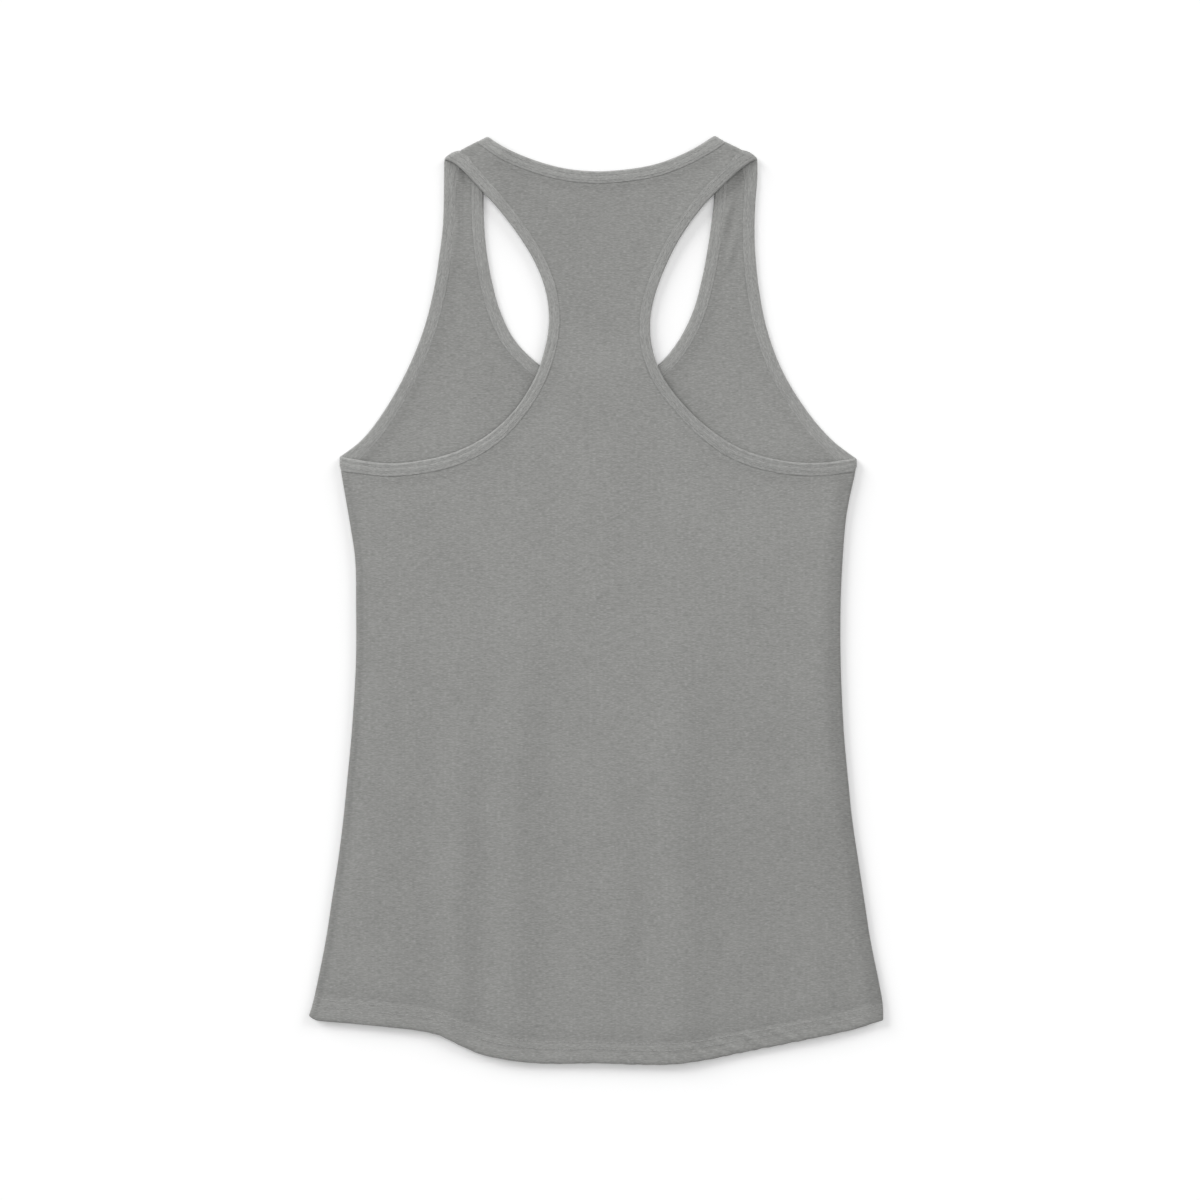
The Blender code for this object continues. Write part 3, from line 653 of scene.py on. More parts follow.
def ripples(points):
    """How the slow unevenness lifts the cloth."""
    height = np.zeros(len(points))
    sway, reach, shift = RIPPLE_SWAY
    for wavelength, heading, start, rise in RIPPLES:
        angle = math.radians(heading)
        along = points[:, 0] * math.cos(angle) + points[:, 1] * math.sin(angle)
        bend = sway * np.sin(points[:, 1] / reach + start * shift)
        height += rise * np.sin(2 * math.pi * ((along + bend) / wavelength + start))
    return height


def creases(points):
    """How the creases lift the front straps."""
    height = np.zeros(len(points))
    for across, drop, end_across, end_drop, rise, half_width in CREASES:
        start = plan(across, drop)
        run = plan(end_across, end_drop) - start
        share = np.clip((points - start) @ run / (run @ run), 0, 1)
        away = np.linalg.norm(points - start - share[:, None] * run, axis=1)
        arch = np.sin(math.pi * (CREASE_ARCH[0] + CREASE_ARCH[1] * share))
        height += rise * bell(away, half_width) * arch
    return height


# ---- panels


def patch(bottom, top, left, right, held=1):
    """A grid of points that fills the space between four edges with matching counts.

    Its inner points are evened out, above the given number of held rows.
    """
    u = ((shares_of(bottom) + shares_of(top)) / 2)[None, :, None]
    v = ((shares_of(left) + shares_of(right)) / 2)[:, None, None]
    across = (1 - u) * left[:, None] + u * right[:, None]
    upward = (1 - v) * bottom[None] + v * top[None]
    low = (1 - u) * bottom[0] + u * bottom[-1]
    high = (1 - u) * top[0] + u * top[-1]
    grid = across + upward - (1 - v) * low - v * high
    for _ in range(RELAX_ROUNDS):
        beside = grid[held:-1, :-2] + grid[held:-1, 2:]
        above_below = grid[held - 1 : -2, 1:-1] + grid[held + 1 :, 1:-1]
        grid[held:-1, 1:-1] = (beside + above_below) / 4
    return grid


def roll_patch(rim, inland):
    """The turn of the cloth between a panel's rim in a fold and its flat part."""
    share = (1 - np.cos(np.radians(ROLL_ANGLES)))[None, :, None]
    return rim[:, None] + (inland - rim)[:, None] * share


def clear_of_fold(edge, fold):
    """The edge from the point where it leaves the fold's turn, with its other points kept."""
    fine = at_shares(edge, np.linspace(0, 1, FINE_STEPS * len(edge)))
    start = fine[np.argmax(distance(fold, fine) >= FOLD_RADIUS)]
    kept = edge[1:][distance(fold, edge[1:]) > FOLD_RADIUS]
    return np.vstack((start, kept))


def straight(start, end, steps):
    return start + (end - start) * np.linspace(0, 1, steps + 1)[:, None]


def shoulder(armhole, neck, end, steps):
    """A panel's edge beside a shoulder fold, and the turn of the cloth up to its rim there."""
    inland = straight(armhole.panel_edge[-1], neck.panel_edge[end], steps)
    corners = np.array((armhole.rims[1], armhole.seams[1], neck.seams[end], neck.rims[end]))
    return inland, roll_patch(at_shares(corners, np.linspace(0, 1, steps + 1)), inland)


def skirt_grid(folds, bands, top, rise, rows, set_back):
    """A panel from its hem up to the given top edge, with both side folds, as one grid."""
    hem = hem_curve(rise)
    hem = hem + square(np.gradient(hem, axis=0)) * set_back
    height = lengths(folds["side", -1])[-1]
    rolls, inlands = [], []
    for sign, band, along_hem in zip((-1, 1), bands, (hem, hem[::-1])):
        fold = folds["side", sign]
        climb = at_shares(fold[::-1], np.linspace(0, 1, FINE_STEPS * len(fold)))
        climb = climb[np.argmin(np.linalg.norm(climb - along_hem[0], axis=1)) :]
        climb = climb[climb[:, 1] < band.rims[0][1] - SEAM_GAP]
        low = np.array(HEM_ROWS) * hem_share(along_hem[:1]) / height
        shares = np.concatenate((low, np.linspace(low[-1], 1, rows - len(low) + 2)[1:]))
        rim = at_shares(np.vstack((climb, band.rims[0])), shares)
        inland = rim + square(np.gradient(rim, axis=0)) * sign * FOLD_RADIUS
        inland[0] = clear_of_fold(along_hem, fold)[0]
        inland[-1] = band.panel_edge[0]
        inlands.append(inland)
        rolls.append(roll_patch(rim, inland))
    bottom = clear_of_fold(clear_of_fold(hem, folds["side", -1])[::-1], folds["side", 1])[::-1]
    bottom = at_shares(bottom, shares_of(top))
    body = patch(bottom, top, *inlands, held=len(HEM_ROWS))
    return np.hstack((rolls[0], body[:, 1:-1], rolls[1][:, ::-1]))


def back_grids(lie, set_back):
    """The back: a skirt below the armholes, the racer above it and its ends in the shoulders."""
    low = ARMHOLE_STEPS["back"][0]
    bands = [armhole_band(sign, "back") for sign in (-1, 1)]
    neck = neck_band("back")
    left, right = (band.panel_edge for band in bands)
    middle = straight(left[low], right[low], BACK_NECK_STEPS + 2 * SHOULDER_STEPS)
    top = np.vstack((left[:low], middle, right[low - 1 :: -1]))
    skirt = skirt_grid(lie.folds, bands, top, 0.0, BACK_SKIRT_ROWS, set_back)
    (first, left_roll), (last, right_roll) = (
        shoulder(band, neck, end, SHOULDER_STEPS) for band, end in zip(bands, (0, -1))
    )
    racer_top = np.vstack((first[:-1], neck.panel_edge, last[-2::-1]))
    return skirt, [patch(middle, racer_top, left[low:], right[low:]), left_roll, right_roll]


def front_grids(lie, set_back):
    """The front: a skirt, the chest above it and two straps."""
    low = ARMHOLE_STEPS["front"][0]
    strap, scoop = FRONT_NECK_STEPS
    bands = [armhole_band(sign, "front") for sign in (-1, 1)]
    neck = neck_band("front")
    inner_edges = neck.panel_edge[: strap + 1], neck.panel_edge[strap + scoop :][::-1]
    bases, grids = [], []
    for band, inner, end in zip(bands, inner_edges, (0, -1)):
        outer = band.panel_edge[low:]
        bases.append(straight(outer[0], inner[-1], STRAP_STEPS))
        top, roll = shoulder(band, neck, end, STRAP_STEPS)
        grids += [patch(bases[-1], top, outer, inner[::-1]), roll]
    middle = neck.panel_edge[strap + 1 : strap + scoop]
    chest_top = np.vstack((bases[0], middle, bases[1][::-1]))
    left, right = (band.panel_edge[: low + 1] for band in bands)
    waist = at_shares(np.array((left[0], right[0])), shares_of(chest_top))
    grids.append(patch(waist, chest_top, left, right))
    skirt = skirt_grid(lie.folds, bands, waist, FRONT_HEM_RISE, FRONT_SKIRT_ROWS, set_back)
    return skirt, grids


def raised(grid, height):
    """The grid's plan points with their heights."""
    flat = grid.reshape(-1, 2)
    return np.column_stack((flat, height(flat))).reshape(*grid.shape[:2], 3)


def normals(grid):
    """Unit normals of a grid of points in space, on its upper side."""
    normal = unit(np.cross(np.gradient(grid, axis=1), np.gradient(grid, axis=0)))
    return normal if normal[..., 2].mean() > 0 else -normal


def turned_hem(skirt, inward, radius):
    """The skirt's middle surface with its hem turned up behind it."""
    below = unit(skirt[0] - skirt[1])
    rows = [skirt[row] + inward[row] * 2 * radius for row in range(TURNED_ROWS - 1, -1, -1)]
    for angle in reversed(TURN_ANGLES):
        turn = math.radians(angle)
        down = below * radius * math.sin(turn)
        rows.append(skirt[0] + down + inward[0] * radius * (1 - math.cos(turn)))
    return np.concatenate((np.array(rows), skirt))


def turned_in(rim, inward):
    """The cloth that is turned in at a seam, from a line of middle points along the rim."""
    return np.stack([rim + inward * reach for reach in ALLOWANCE], axis=1)


def panel(name, grids_of, height, faces_up, lie, painted_light_of):
    """A panel as a thin wall round its middle surface, with its hem turned up.

    Gives the piece, and its hem's rows of stitching as points and ways out of the cloth.
    """
    wall = lie.sizes.wall / MM
    surfaces = []
    skirt, grids = grids_of(lie, wall + HEM_GAP / 2)
    for index, grid in enumerate((skirt, *grids)):
        outer = raised(grid, height)
        inward = normals(outer) * (-1 if faces_up else 1)
        middle = outer + inward * wall / 2
        if index == 0:
            seen = slice(None) if faces_up else slice(len(ROLL_ANGLES), -len(ROLL_ANGLES))
            sewn = [(outer[row, seen], -inward[row, seen]) for row in STITCHED_ROWS]
            for side in (0, -1):
                surfaces.append(turned_in(middle[:-1, side], inward[:-1, side]))
            middle = turned_hem(middle, inward, (wall + HEM_GAP) / 2)
        elif grid.shape[1] == len(ROLL_ANGLES):
            surfaces.append(turned_in(middle[:, 0], inward[:, 0]))
        surfaces.append(middle)
    return cloth_mesh(name, surfaces, wall, painted_light_of), sewn


# ---- meshes


def grid_faces(rows, columns):
    """The four-sided faces of a grid of points."""
    corner = (np.arange(rows - 1)[:, None] * columns + np.arange(columns - 1)).reshape(-1)
    return np.column_stack((corner, corner + 1, corner + columns + 1, corner + columns))


def new_piece(name, points, faces):
    """A mesh of points in mm as the only selected object, its faces all turned one way."""
    mesh = bpy.data.meshes.new(name)
    mesh.from_pydata((points * MM).tolist(), [], faces)
    piece = bpy.data.objects.new(name, mesh)
    bpy.context.scene.collection.objects.link(piece)
    bpy.ops.object.select_all(action="DESELECT")
    piece.select_set(True)
    bpy.context.view_layer.objects.active = piece
    bpy.ops.object.mode_set(mode="EDIT")
    bpy.ops.mesh.select_all(action="SELECT")
    bpy.ops.mesh.normals_make_consistent(inside=False)
    bpy.ops.object.mode_set(mode="OBJECT")
    return piece


def cloth_mesh(name, surfaces, wall, painted_light_of, uvs=None):
    """One wall of cloth round the given grids of points, which are joined where they meet."""
    places = uvs or [grid[..., :2] for grid in surfaces]
    faces, count = [], 0
    for grid in surfaces:
        faces.append(grid_faces(*grid.shape[:2]) + count)
        count += grid.shape[0] * grid.shape[1]
    points = np.vstack([grid.reshape(-1, 3) for grid in surfaces])
    places = np.vstack([place.reshape(-1, 2) for place in places])
    _, first, same = np.unique(
        np.round(points / WELD), axis=0, return_index=True, return_inverse=True
    )
    faces = same.reshape(-1)[np.vstack(faces)].tolist()
    points, places = points[first], places[first]
    piece = new_piece(name, points, [face for face in faces if len(set(face)) == 4])
    mesh = piece.data
    corners = np.empty(len(mesh.loops), np.int32)
    mesh.loops.foreach_get("vertex_index", corners)
    uv = mesh.uv_layers.new(name="cloth")
    uv.data.foreach_set("uv", (places[corners] * MM).ravel())
    # The cloth's painted light and shade, which its material multiplies into its colour
    painted_light = mesh.attributes.new("painted_light", "FLOAT", "POINT")
    painted_light.data.foreach_set("value", painted_light_of(points).astype(np.float32))
    solid = piece.modifiers.new("wall", "SOLIDIFY")
    solid.thickness = wall * MM
    solid.offset = 0.0
    bpy.ops.object.modifier_apply(modifier=solid.name)
    bpy.ops.object.shade_smooth_by_angle(angle=math.radians(SMOOTH_ANGLE))
    return piece


# ---- bands


def band_path(sizes):
    """A band's section: across from its outer edge and out from its underside, inside first."""
    layer = sizes.band_wall / MM
    radius = (BAND_WALL - layer) / 2
    set_in = radius + layer / 2
    ends = [BAND_WIDTH - end for end in BAND_ENDS]
    path = [(across, layer / 2) for across in np.linspace(ends[-1], set_in, INNER_POINTS)]
    for angle in TURN_ANGLES:
        swing = math.radians(angle)
        path.append((set_in - radius * math.sin(swing), BAND_WALL / 2 - radius * math.cos(swing)))
    outer_start = len(path)
    for across in (*np.linspace(set_in, ends[0], OUTER_POINTS), *ends[1:]):
        path.append((across, BAND_WALL - layer / 2))
    return np.array(path), outer_start


def band_relief(across, strength, sizes):
    """How the outer face of a band rises and falls across its width."""
    depth = sizes.stitch_dip / MM * strength
    dip = sum(depth * bell(across - line, BAND_GROOVE) for line in BAND_STITCH_LINES)
    return -dip - BAND_ROLL * ease(*BAND_ROLL_SPAN, across)


def layer_stations(band, lows, outward):
    """The stations of a band on one layer. lows holds its underside's heights at each."""
    out = np.array((0.0, 0.0, outward))
    return [(*station, out, np.zeros(2)) for station in zip(band.edge, band.seam, lows)]


def fold_stations(back, front, end, outward_sign, direction, bulge):
    """The stations of a band round a fold, between its two layers."""
    edge, seam = back.edges[end], back.seams[end]
    along = unit(seam - edge)
    out = square(along) * outward_sign
    starts = (back.edge[end] - edge) @ along, (front.edge[end] - edge) @ along
    stations = []
    for angle in np.linspace(90, -90, FOLD_STATIONS + 2)[1:-1] * direction:
        turn = math.radians(angle)
        outward = np.array((*(out * math.cos(turn)), math.sin(turn)))
        shift = -out * FOLD_RADIUS + outward[:2] * SEAM_GAP / 2
        start = along * np.interp(angle, (-90, 90), starts[::-1])
        height = FOLD_RADIUS + outward[2] * SEAM_GAP / 2
        lines = edge + start + shift, seam + shift
        stations.append((*lines, (height, height), outward, outward[:2] * bulge))
    return stations


class Ring:
    """A whole band as stations along it. Each puts a section's points in their place.

    A station is its outer edge, its seam, the underside's heights at both, the way out of the
    cloth, and how far the band bulges there.
    """

    def __init__(self, lie, back, front, turns, bulges=(0.0, 0.0)):
        """turns gives the outward side of the folds at the back half's end and start."""
        lows = zip(lie.under_back(back.edge), lie.under_back(back.seam))
        self.stations = layer_stations(back, lows, 1.0)
        self.stations += fold_stations(back, front, -1, turns[0], 1, bulges[0])
        lows = [(BAND_WALL, BAND_WALL)] * len(front.edge)
        self.stations += layer_stations(front, lows, -1.0)[::-1]
        self.stations += fold_stations(back, front, 0, turns[1], -1, bulges[1])
        self.stations.append(self.stations[0])

    def points(self, across, outward):
        """A grid: for each station, the points at the given places across and outward.

        outward may be one list, or one for each station.
        """
        outward = np.broadcast_to(outward, (len(self.stations), len(across)))
        share = (np.asarray(across) / BAND_WIDTH)[:, None]
        arch = np.sin(math.pi * np.clip(share, 0.0, 1.0))
        grid = []
        for (edge, seam, low, out, bulge), lift in zip(self.stations, outward):
            line = edge + (seam - edge) * share + bulge * arch
            base = np.column_stack((line, low[0] + (low[1] - low[0]) * share))
            grid.append(base + out * lift[:, None])
        return np.array(grid)

    def strength(self):
        """How deep the stitching shows at each station: most at the underarm."""
        least, start, full = BAND_STITCHING
        drop = drop_of(np.array([station[0] for station in self.stations]))
        return least + (1 - least) * ease(start, full, drop)[:, None]

    def stitch_lines(self, sizes):
        """The lines of stitches, outside and inside, each with the way out of the cloth."""
        outward = np.array([station[3] for station in self.stations])
        for across in BAND_STITCH_LINES:
            relief = band_relief(np.array((across,)), self.strength(), sizes)
            yield self.points((across,), BAND_WALL + relief)[:, 0], outward
            yield self.points((across,), -relief)[:, 0], -outward


def armhole_ring(lie, sign):
    halves = [armhole_band(sign, layer, even=True) for layer in ("back", "front")]
    return Ring(lie, *halves, (-sign, sign), (SHOULDER_BULGE, UNDERARM_BULGE))


def neck_ring(lie):
    halves = [neck_band(layer, even=True) for layer in ("back", "front")]
    return Ring(lie, *halves, (1, -1))


def band_piece(name, ring, sizes, painted_light_of):
    """A band of cloth folded round the panel's edge."""
    path, outer_start = band_path(sizes)
    across, outward = path.T
    relief = band_relief(across[None], ring.strength(), sizes)
    lift = np.broadcast_to(outward, relief.shape).copy()
    lift[:, :INNER_POINTS] -= relief[:, :INNER_POINTS]
    lift[:, outer_start:] += relief[:, outer_start:]
    along = np.arange(len(ring.stations) - 1)[:, None] * BAND_SPACING
    waves = (height * np.sin(along / length + start) for height, length, start in BAND_WAVES)
    lift[:-1, outer_start:] += sum(waves)
    lift[-1] = lift[0]
    grid = ring.points(across, lift)
    along, around = lengths(grid[:, outer_start]), lengths(path)
    uv = np.stack(np.broadcast_arrays(along[:, None], around[None]), axis=2)
    return cloth_mesh(name, [grid], sizes.band_wall / MM, painted_light_of, [uv])


# ---- stitching


def stitches(line, normal, sizes):
    """Short threads laid along a line of points, each with its ends in the cloth."""
    pitch, radius = sizes.stitch_length / MM, sizes.thread / MM / 2
    along = lengths(line)
    count = int(along[-1] // pitch)
    middle = (np.arange(count) + 0.5) * along[-1] / count
    sides = np.radians(np.arange(THREAD_SIDES) * 360 / THREAD_SIDES)
    rings = []
    for reach, lift, width in STITCH_PROFILE:
        places = middle + reach * STITCH_SHARE * pitch
        ahead = at_lengths(line, along, places + STITCH_AIM)
        forward = unit(ahead - at_lengths(line, along, places - STITCH_AIM))
        side = unit(np.cross(forward, at_lengths(normal, along, places)))
        up = np.cross(side, forward)
        centre = at_lengths(line, along, places) + up * radius * lift
        ring = [centre + (side * math.cos(a) + up * math.sin(a)) * radius * width for a in sides]
        rings.append(np.stack(ring, axis=1))
    return np.stack(rings, axis=1)


def thread_mesh(name, groups):
    """All the stitches of some lines as one mesh of closed threads."""
    points = np.concatenate(groups)
    count, rings, sides = points.shape[:3]
    ring, side = np.divmod(grid_faces(rings, sides + 1), sides + 1)
    quads = ring * sides + side % sides
    caps = np.stack((np.arange(sides)[::-1], np.arange(sides) + (rings - 1) * sides))
    starts = (np.arange(count) * rings * sides)[:, None, None]
    faces = (quads + starts).reshape(-1, 4).tolist() + (caps + starts).reshape(-1, sides).tolist()
    piece = new_piece(name, points.reshape(-1, 3), faces)
    bpy.ops.object.shade_smooth()
    return piece


# ---- materials


class Value:
    """A socket of a material's tree. Python's operators add Math nodes to it."""

    def __init__(self, tree, socket):
        self.tree = tree
        self.socket = socket

    def math(self, operation, *others):
        return self.tree.node("ShaderNodeMath", {"operation": operation}, (self, *others))

    def __add__(self, other):
        return self.math("ADD", other)

    def __sub__(self, other):
        return self.math("SUBTRACT", other)

    def __mul__(self, other):
        return self.math("MULTIPLY", other)

    def __rsub__(self, other):
        return self.tree.node("ShaderNodeMath", {"operation": "SUBTRACT"}, (other, self))

    def __pow__(self, other):
        return self.math("POWER", other)

    __radd__ = __add__
    __rmul__ = __mul__


class Tree:
    """A material's nodes, added by type, settings and the values or links of their sockets."""

    def __init__(self, name):
        self.material = bpy.data.materials.new(name)
        self.material.use_nodes = True
        self.nodes = self.material.node_tree.nodes
        self.links = self.material.node_tree.links

    def node(self, kind, settings=None, inputs=(), output=0):
        node = self.nodes.new(kind)
        for name, value in (settings or {}).items():
            setattr(node, name, value)
        self.fill(node, inputs)
        return Value(self, node.outputs[output])

    def fill(self, node, inputs):
        """Gives a node's sockets their values or links."""
        for key, value in inputs.items() if isinstance(inputs, dict) else enumerate(inputs):
            if isinstance(value, Value):
                self.links.new(value.socket, node.inputs[key])
            else:
                node.inputs[key].default_value = value

    def finish(self, inputs):
        """Sets the shader's sockets, and gives the material."""
        self.fill(self.nodes["Principled BSDF"], inputs)
        return self.material

    def parts(self, vector):
        """A vector's three numbers."""
        split = self.node("ShaderNodeSeparateXYZ", None, (vector,)).socket.node
        return [Value(self, socket) for socket in split.outputs]

    def mix(self, factor, first, second):
        settings = {"data_type": "RGBA"}
        return self.node("ShaderNodeMix", settings, {0: factor, 6: first, 7: second}, output=2)

    def bump(self, height, strength, distance):
        inputs = {"Strength": strength, "Distance": distance, "Height": height}
        return self.node("ShaderNodeBump", None, inputs)

    def cloth_noise(self, place, across, up, detail):
        """Noise on the cloth with one feature in so many mm across and up."""
        scale = (1 / (across * MM), 1 / (up * MM), 1.0)
        spot = self.node("ShaderNodeVectorMath", {"operation": "MULTIPLY"}, (place, scale))
        inputs = {"Vector": spot, "Scale": 1.0, "Detail": detail}
        return self.node("ShaderNodeTexNoise", {"noise_dimensions": "2D"}, inputs)


def shade(colour, share):
    """A share of a colour, for a socket."""
    return (*[channel * share for channel in colour], 1.0)


def jersey(name, colour, sizes):
    """Heather jersey: short streaks of lighter and darker fibre along the knitted rows."""
    tree = Tree(name)
    place = tree.node("ShaderNodeUVMap", {"uv_map": "cloth"})
    # The painted light and shade kept on the cloth's points
    painted_light = tree.node("ShaderNodeAttribute", {"attribute_name": "painted_light"}, output=2)
    streaks = [tree.cloth_noise(place, *row[:3]) - 0.5 for row in HEATHER]
    flecks = (tree.cloth_noise(place, *FLECKS[:3]) - FLECK_START).math("MAXIMUM", 0.0)
    blend = flecks * FLECKS[3] + EVEN_BLEND
    for streak, row in zip(streaks, HEATHER):
        blend = blend + streak * row[3]
    blend = blend.math("MINIMUM", 1.0).math("MAXIMUM", 0.0)
    base = tree.mix(blend, shade(colour, 1 - sizes.heather), shade(colour, 1 + sizes.heather))
    # The heather's colour times the painted light and shade
    base_with_painted_light = tree.node("ShaderNodeVectorMath", {"operation": "SCALE"}, {0: base, "Scale": painted_light})
    height = knit_height(tree, place, sizes) + streaks[0] * FIBRE_RELIEF
    bump = tree.bump(height, *JERSEY_BUMP)
    tree.material.diffuse_color = (*colour, 1.0)
    return tree.finish({"Base Color": base_with_painted_light, "Normal": bump} | JERSEY_FINISH)


def knit_height(tree, place, sizes):
    """The chevrons of jersey's face: columns of V-shaped loops."""
    courses, slant, low, high = KNIT
    across, up = tree.parts(place)[:2]
    edge = ((across * (1 / sizes.loop_width)).math("FRACT") * 2 - 1).math("ABSOLUTE")
    course = up * (courses / sizes.loop_width)
    legs = ((course + edge * slant) * (2 * math.pi)).math("COSINE")
    return (1 - edge**2) * (low + legs * high)


def thread_fibre(name, colour):
    """Sewing thread, with its fibre and its twist."""
    tree = Tree(name)
    place = tree.node("ShaderNodeTexCoord", output=3)
    fibre, twist = (
        tree.node("ShaderNodeTexNoise", None, {"Vector": place, "Scale": scale, "Detail": detail})
        for scale, detail in THREAD_NOISE
    )
    base = tree.mix(fibre, *[shade(colour, share) for share in THREAD_SHADES])
    bump = tree.bump(twist, *THREAD_BUMP)
    return tree.finish({"Base Color": base, "Roughness": THREAD_ROUGHNESS, "Normal": bump})


def material(name, make, *details):
    """The material of that name, made once."""
    return bpy.data.materials.get(name) or make(name, *details)


def panel_cloth(scene):
    return material("panel_heather", jersey, scene.tank_top_colours.body, scene.tank_top_sizes)


def band_cloth(scene):
    return material("band_heather", jersey, scene.tank_top_colours.band, scene.tank_top_sizes)


# ---- painted light and shade in the cloth's colour


def panel_painted_light(lie, rise, seam_side):
    """Painted light and shade in a panel's cloth: painted shade at its sides and seam, a painted
    highlight on its doubled hem, and a painted falloff down and to the right.
    """

    def painted_light(points):
        places = points[:, :2]
        drop = drop_of(places)
        painted_lightness = 1 - SEAM_PAINTED_SHADE * lie.side_groove(places, seam_side)
        for sign, shades in SIDE_PAINTED_SHADES.items():
            from_fold = distance(lie.folds["side", sign], places)
            for start, full, depth in shades:
                painted_lightness -= depth * ease(start, full, from_fold)
        # Painted light falloff down the garment and to the right
        for start, end, change in PAINTED_FALLOFF_DOWN:
            painted_lightness += change * ease(start, end, drop)
        start, end, change = PAINTED_FALLOFF_RIGHT
        painted_lightness += change * ease(start, end, places[:, 0]) * ease(*PAINTED_FALLOFF_DOWN[1][:2], drop)
        # Painted shade above the hem and at its edge, and a painted highlight on the hem itself
        from_hem = over_hem(places, rise)
        for start, full, change in HEM_PAINTED_LIGHT:
            painted_lightness += change * ease(start, full, from_hem)
        return painted_lightness

    return painted_light


def band_painted_light(place):
    """Painted light and shade on a band's cloth where it lies on the back, with painted shade on
    top of the shoulder.
    """
    change, darker = BAND_PAINTED_LIGHT[place]

    def painted_light(points):
        on_back = ease(*BAND_PAINTED_LIGHT_SPAN, points[:, 2])
        return 1 + (change - darker * ease(*SHOULDER_TOP, drop_of(points))) * on_back

    return painted_light


# ---- the add-on


def factor(name, description, default, **more):
    return FloatProperty(name=name, description=description, default=default, min=0.0, **more)


def length(name, description, default):
    return factor(name, description, default, unit="LENGTH")


def colour(name, description, default):
    return FloatVectorProperty(
        name=name, description=description, default=default, subtype="COLOR", min=0.0, max=1.0
    )


class TankTopSizes(bpy.types.PropertyGroup):
    """Sizes of the cloth and its sewing."""

    wall: length("Panel wall", "Thickness of one layer of the panels' jersey", 0.0009)
    band_wall: length("Band wall", "Thickness of one layer of a band", 0.00065)
    seam_dip: length("Seam dip", "How far a panel dips beside a band", 0.0001)
    stitch_dip: length("Stitch dip", "How far stitching pulls a band in", 0.0002)
    pucker: length("Hem pucker", "Height of the small waves in the hem", 0.00045)
    stitch_length: length("Stitch length", "From one stitch to the next", 0.003)
    thread: length("Thread", "Thickness of the sewing thread", 0.00038)
    loop_width: length("Loop width", "Width of one knitted loop", 0.0011)
    fold_height: factor("Fold height", "Height of the soft folds, as a factor", 1.7)
    heather: factor("Heather", "How far light and dark fibres differ", 0.185, max=1.0)


class TankTopColours(bpy.types.PropertyGroup):
    """Colours of the cloth, its thread and the floor."""

    body: colour("Body", "Jersey of the panels", (0.25, 0.251, 0.243))
    band: colour("Bands", "Jersey of the bands", (0.282, 0.283, 0.275))
    thread: colour("Thread", "Sewing thread", (0.31, 0.31, 0.302))
    floor: colour("Floor", "Surface the garment lies on", (0.93, 0.93, 0.93))


def dress(piece, node, cloth):
    """Puts a piece on the garment, in place of a plain solid where it stands for one."""
    piece.data.materials.append(cloth)
    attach(piece, "root")
    if node:
        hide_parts(node)


def sew(name, rows, scene):
    """Stitches along rows of points, each with the way out of the cloth there."""
    thread = material("sewing_thread", thread_fibre, scene.tank_top_colours.thread)
    threads = [stitches(line, out, scene.tank_top_sizes) for line, out in rows]
    dress(thread_mesh(name, threads), None, thread)


class TANKTOP_OT_front_panel(bpy.types.Operator):
    """Lay down the front panel, its outside on the floor"""

    bl_idname = "tanktop.front_panel"
    bl_label = "Front panel"

    def execute(self, context):
        lie = Lie(context.scene.tank_top_sizes)
        painted_light = panel_painted_light(lie, FRONT_HEM_RISE, 1)
        piece, rows = panel("front_panel", front_grids, lie.front_outside, False, lie, painted_light)
        dress(piece, "front", panel_cloth(context.scene))
        sew("front_hem_stitches", rows, context.scene)
        return {"FINISHED"}


class TANKTOP_OT_back_panel(bpy.types.Operator):
    """Lay the back panel over the front one"""

    bl_idname = "tanktop.back_panel"
    bl_label = "Back panel"

    def execute(self, context):
        lie = Lie(context.scene.tank_top_sizes)
        painted_light = panel_painted_light(lie, 0.0, -1)
        piece, rows = panel("back_panel", back_grids, lie.back_outside, True, lie, painted_light)
        dress(piece, "back", panel_cloth(context.scene))
        sew("back_hem_stitches", rows, context.scene)
        return {"FINISHED"}


def fold_band(name, stitches_name, node, ring, painted_light, scene):
    """Puts a band round its opening, with its stitching."""
    piece = band_piece(name, ring, scene.tank_top_sizes, painted_light)
    dress(piece, node, band_cloth(scene))
    sew(stitches_name, ring.stitch_lines(scene.tank_top_sizes), scene)


class TANKTOP_OT_neck_band(bpy.types.Operator):
    """Fold the neck band round the back neck and the front scoop"""

    bl_idname = "tanktop.neck_band"
    bl_label = "Neck band"

    def execute(self, context):
        names = "neck_band", "neck_band_stitches", "neck_binding"
        ring = neck_ring(Lie(context.scene.tank_top_sizes))
        fold_band(*names, ring, band_painted_light("neck"), context.scene)
        return {"FINISHED"}


class TANKTOP_OT_armhole_bands(bpy.types.Operator):
    """Fold a band round each armhole"""

    bl_idname = "tanktop.armhole_bands"
    bl_label = "Armhole bands"

    def execute(self, context):
        lie = Lie(context.scene.tank_top_sizes)
        for sign, side in ((-1, "left"), (1, "right")):
            names = f"{side}_armhole_band", f"{side}_armhole_stitches", f"armhole_binding_{side}"
            fold_band(*names, armhole_ring(lie, sign), band_painted_light(sign), context.scene)
        return {"FINISHED"}


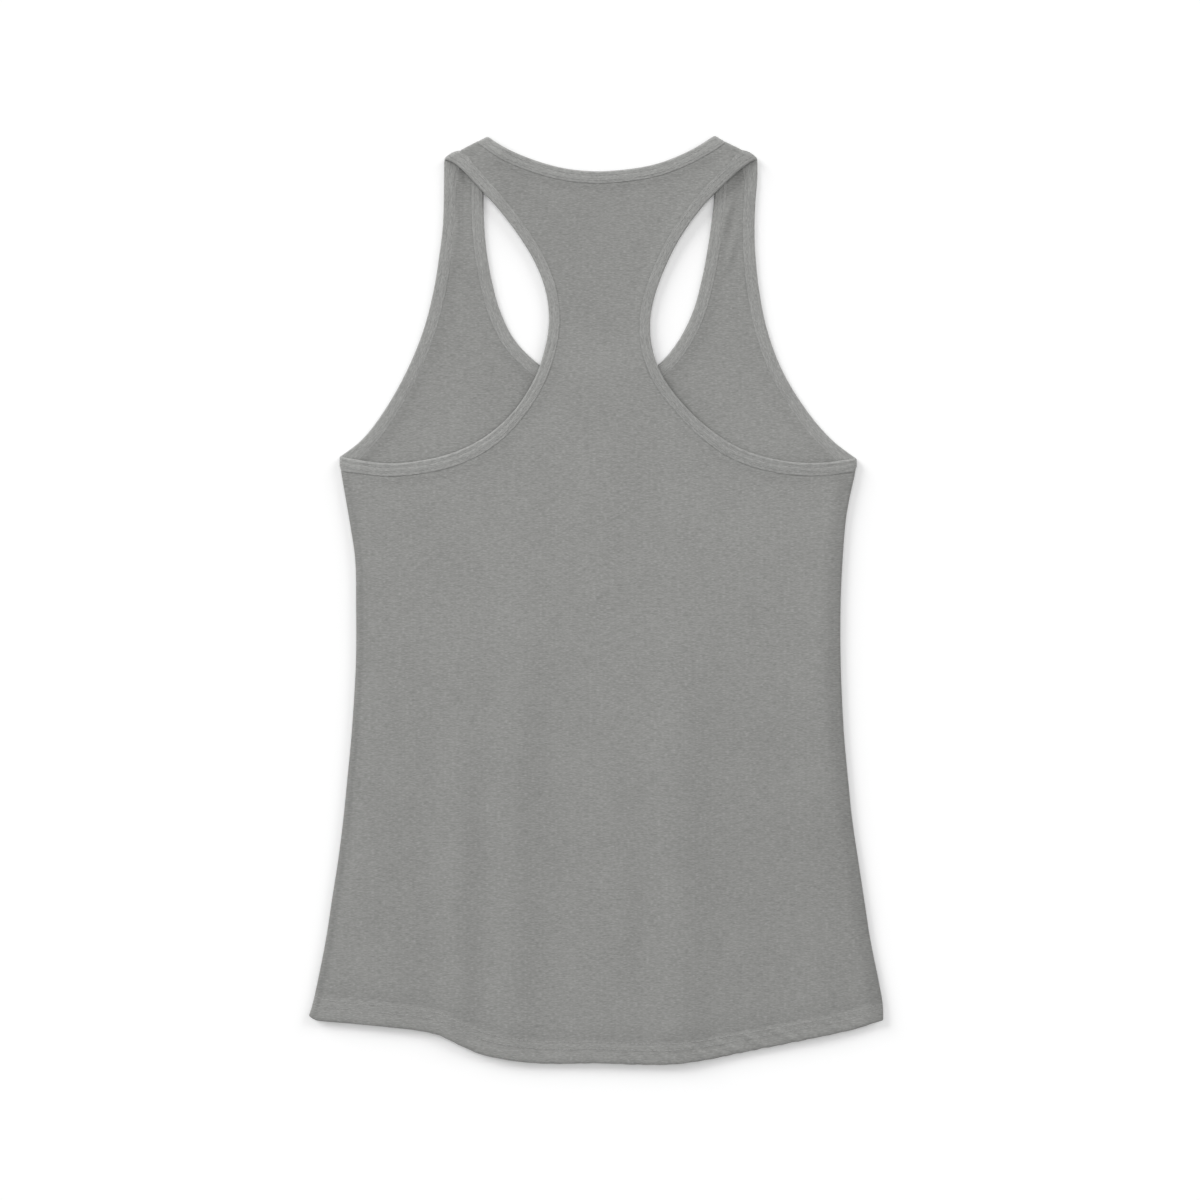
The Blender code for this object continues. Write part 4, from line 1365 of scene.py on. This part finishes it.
class TANKTOP_OT_stage(bpy.types.Operator):
    """Add the pale floor, the soft lights and the camera straight above"""

    bl_idname = "tanktop.stage"
    bl_label = "Floor, lights and camera"

    def execute(self, context):
        scene = context.scene
        bpy.ops.object.select_all(action="DESELECT")
        bpy.ops.mesh.primitive_plane_add(size=FLOOR_SIZE, location=(0, 0, FLOOR_HEIGHT))
        floor = context.active_object
        floor.name = "floor"
        finish = {"Base Color": (*scene.tank_top_colours.floor, 1.0)} | FLOOR_FINISH
        floor.data.materials.append(Tree("pale_floor").finish(finish))

        for name, place, energy, spread in LIGHTS:
            bpy.ops.object.light_add(type="SUN", location=place)
            lamp = context.active_object
            lamp.name = name
            lamp.rotation_euler = Vector(place).to_track_quat("Z", "Y").to_euler()
            lamp.data.energy = energy
            lamp.data.angle = spread

        world = bpy.data.worlds.new("soft_room")
        world.use_nodes = True
        background = world.node_tree.nodes["Background"].inputs
        background["Color"].default_value = (1, 1, 1, 1)
        background["Strength"].default_value = ROOM_LIGHT
        scene.world = world

        across, up, height = VIEW_MIDDLE
        camera = bpy.data.cameras.new("camera")
        camera.lens = LENS
        camera.sensor_width = SENSOR
        camera.clip_end = VIEW_REACH
        rig = bpy.data.objects.new("camera", camera)
        scene.collection.objects.link(rig)
        rig.location = (across, up, VIEW_WIDTH * LENS / SENSOR + height)
        scene.camera = rig
        scene.view_settings.view_transform = "Standard"
        return {"FINISHED"}


class TANKTOP_PT_panel(bpy.types.Panel):
    """The tank top's pieces and sizes"""

    bl_label = "Tank Top"
    bl_space_type = "VIEW_3D"
    bl_region_type = "UI"
    bl_category = "Tank Top"

    def draw(self, context):
        for group in (context.scene.tank_top_sizes, context.scene.tank_top_colours):
            for name in group.__annotations__:
                self.layout.prop(group, name)
        for operator in PIECES:
            self.layout.operator(operator.bl_idname)


PIECES = (
    TANKTOP_OT_front_panel,
    TANKTOP_OT_back_panel,
    TANKTOP_OT_neck_band,
    TANKTOP_OT_armhole_bands,
    TANKTOP_OT_stage,
)


def register():
    for group in (TankTopSizes, TankTopColours, *PIECES, TANKTOP_PT_panel):
        bpy.utils.register_class(group)
    bpy.types.Scene.tank_top_sizes = PointerProperty(type=TankTopSizes)
    bpy.types.Scene.tank_top_colours = PointerProperty(type=TankTopColours)


def unregister():
    del bpy.types.Scene.tank_top_colours
    del bpy.types.Scene.tank_top_sizes
    for group in (TANKTOP_PT_panel, *reversed(PIECES), TankTopColours, TankTopSizes):
        bpy.utils.unregister_class(group)


def main():
    register()
    bpy.ops.tanktop.front_panel()
    bpy.ops.tanktop.back_panel()
    bpy.ops.tanktop.neck_band()
    bpy.ops.tanktop.armhole_bands()
    bpy.ops.tanktop.stage()


if __name__ == "__main__":
    main()
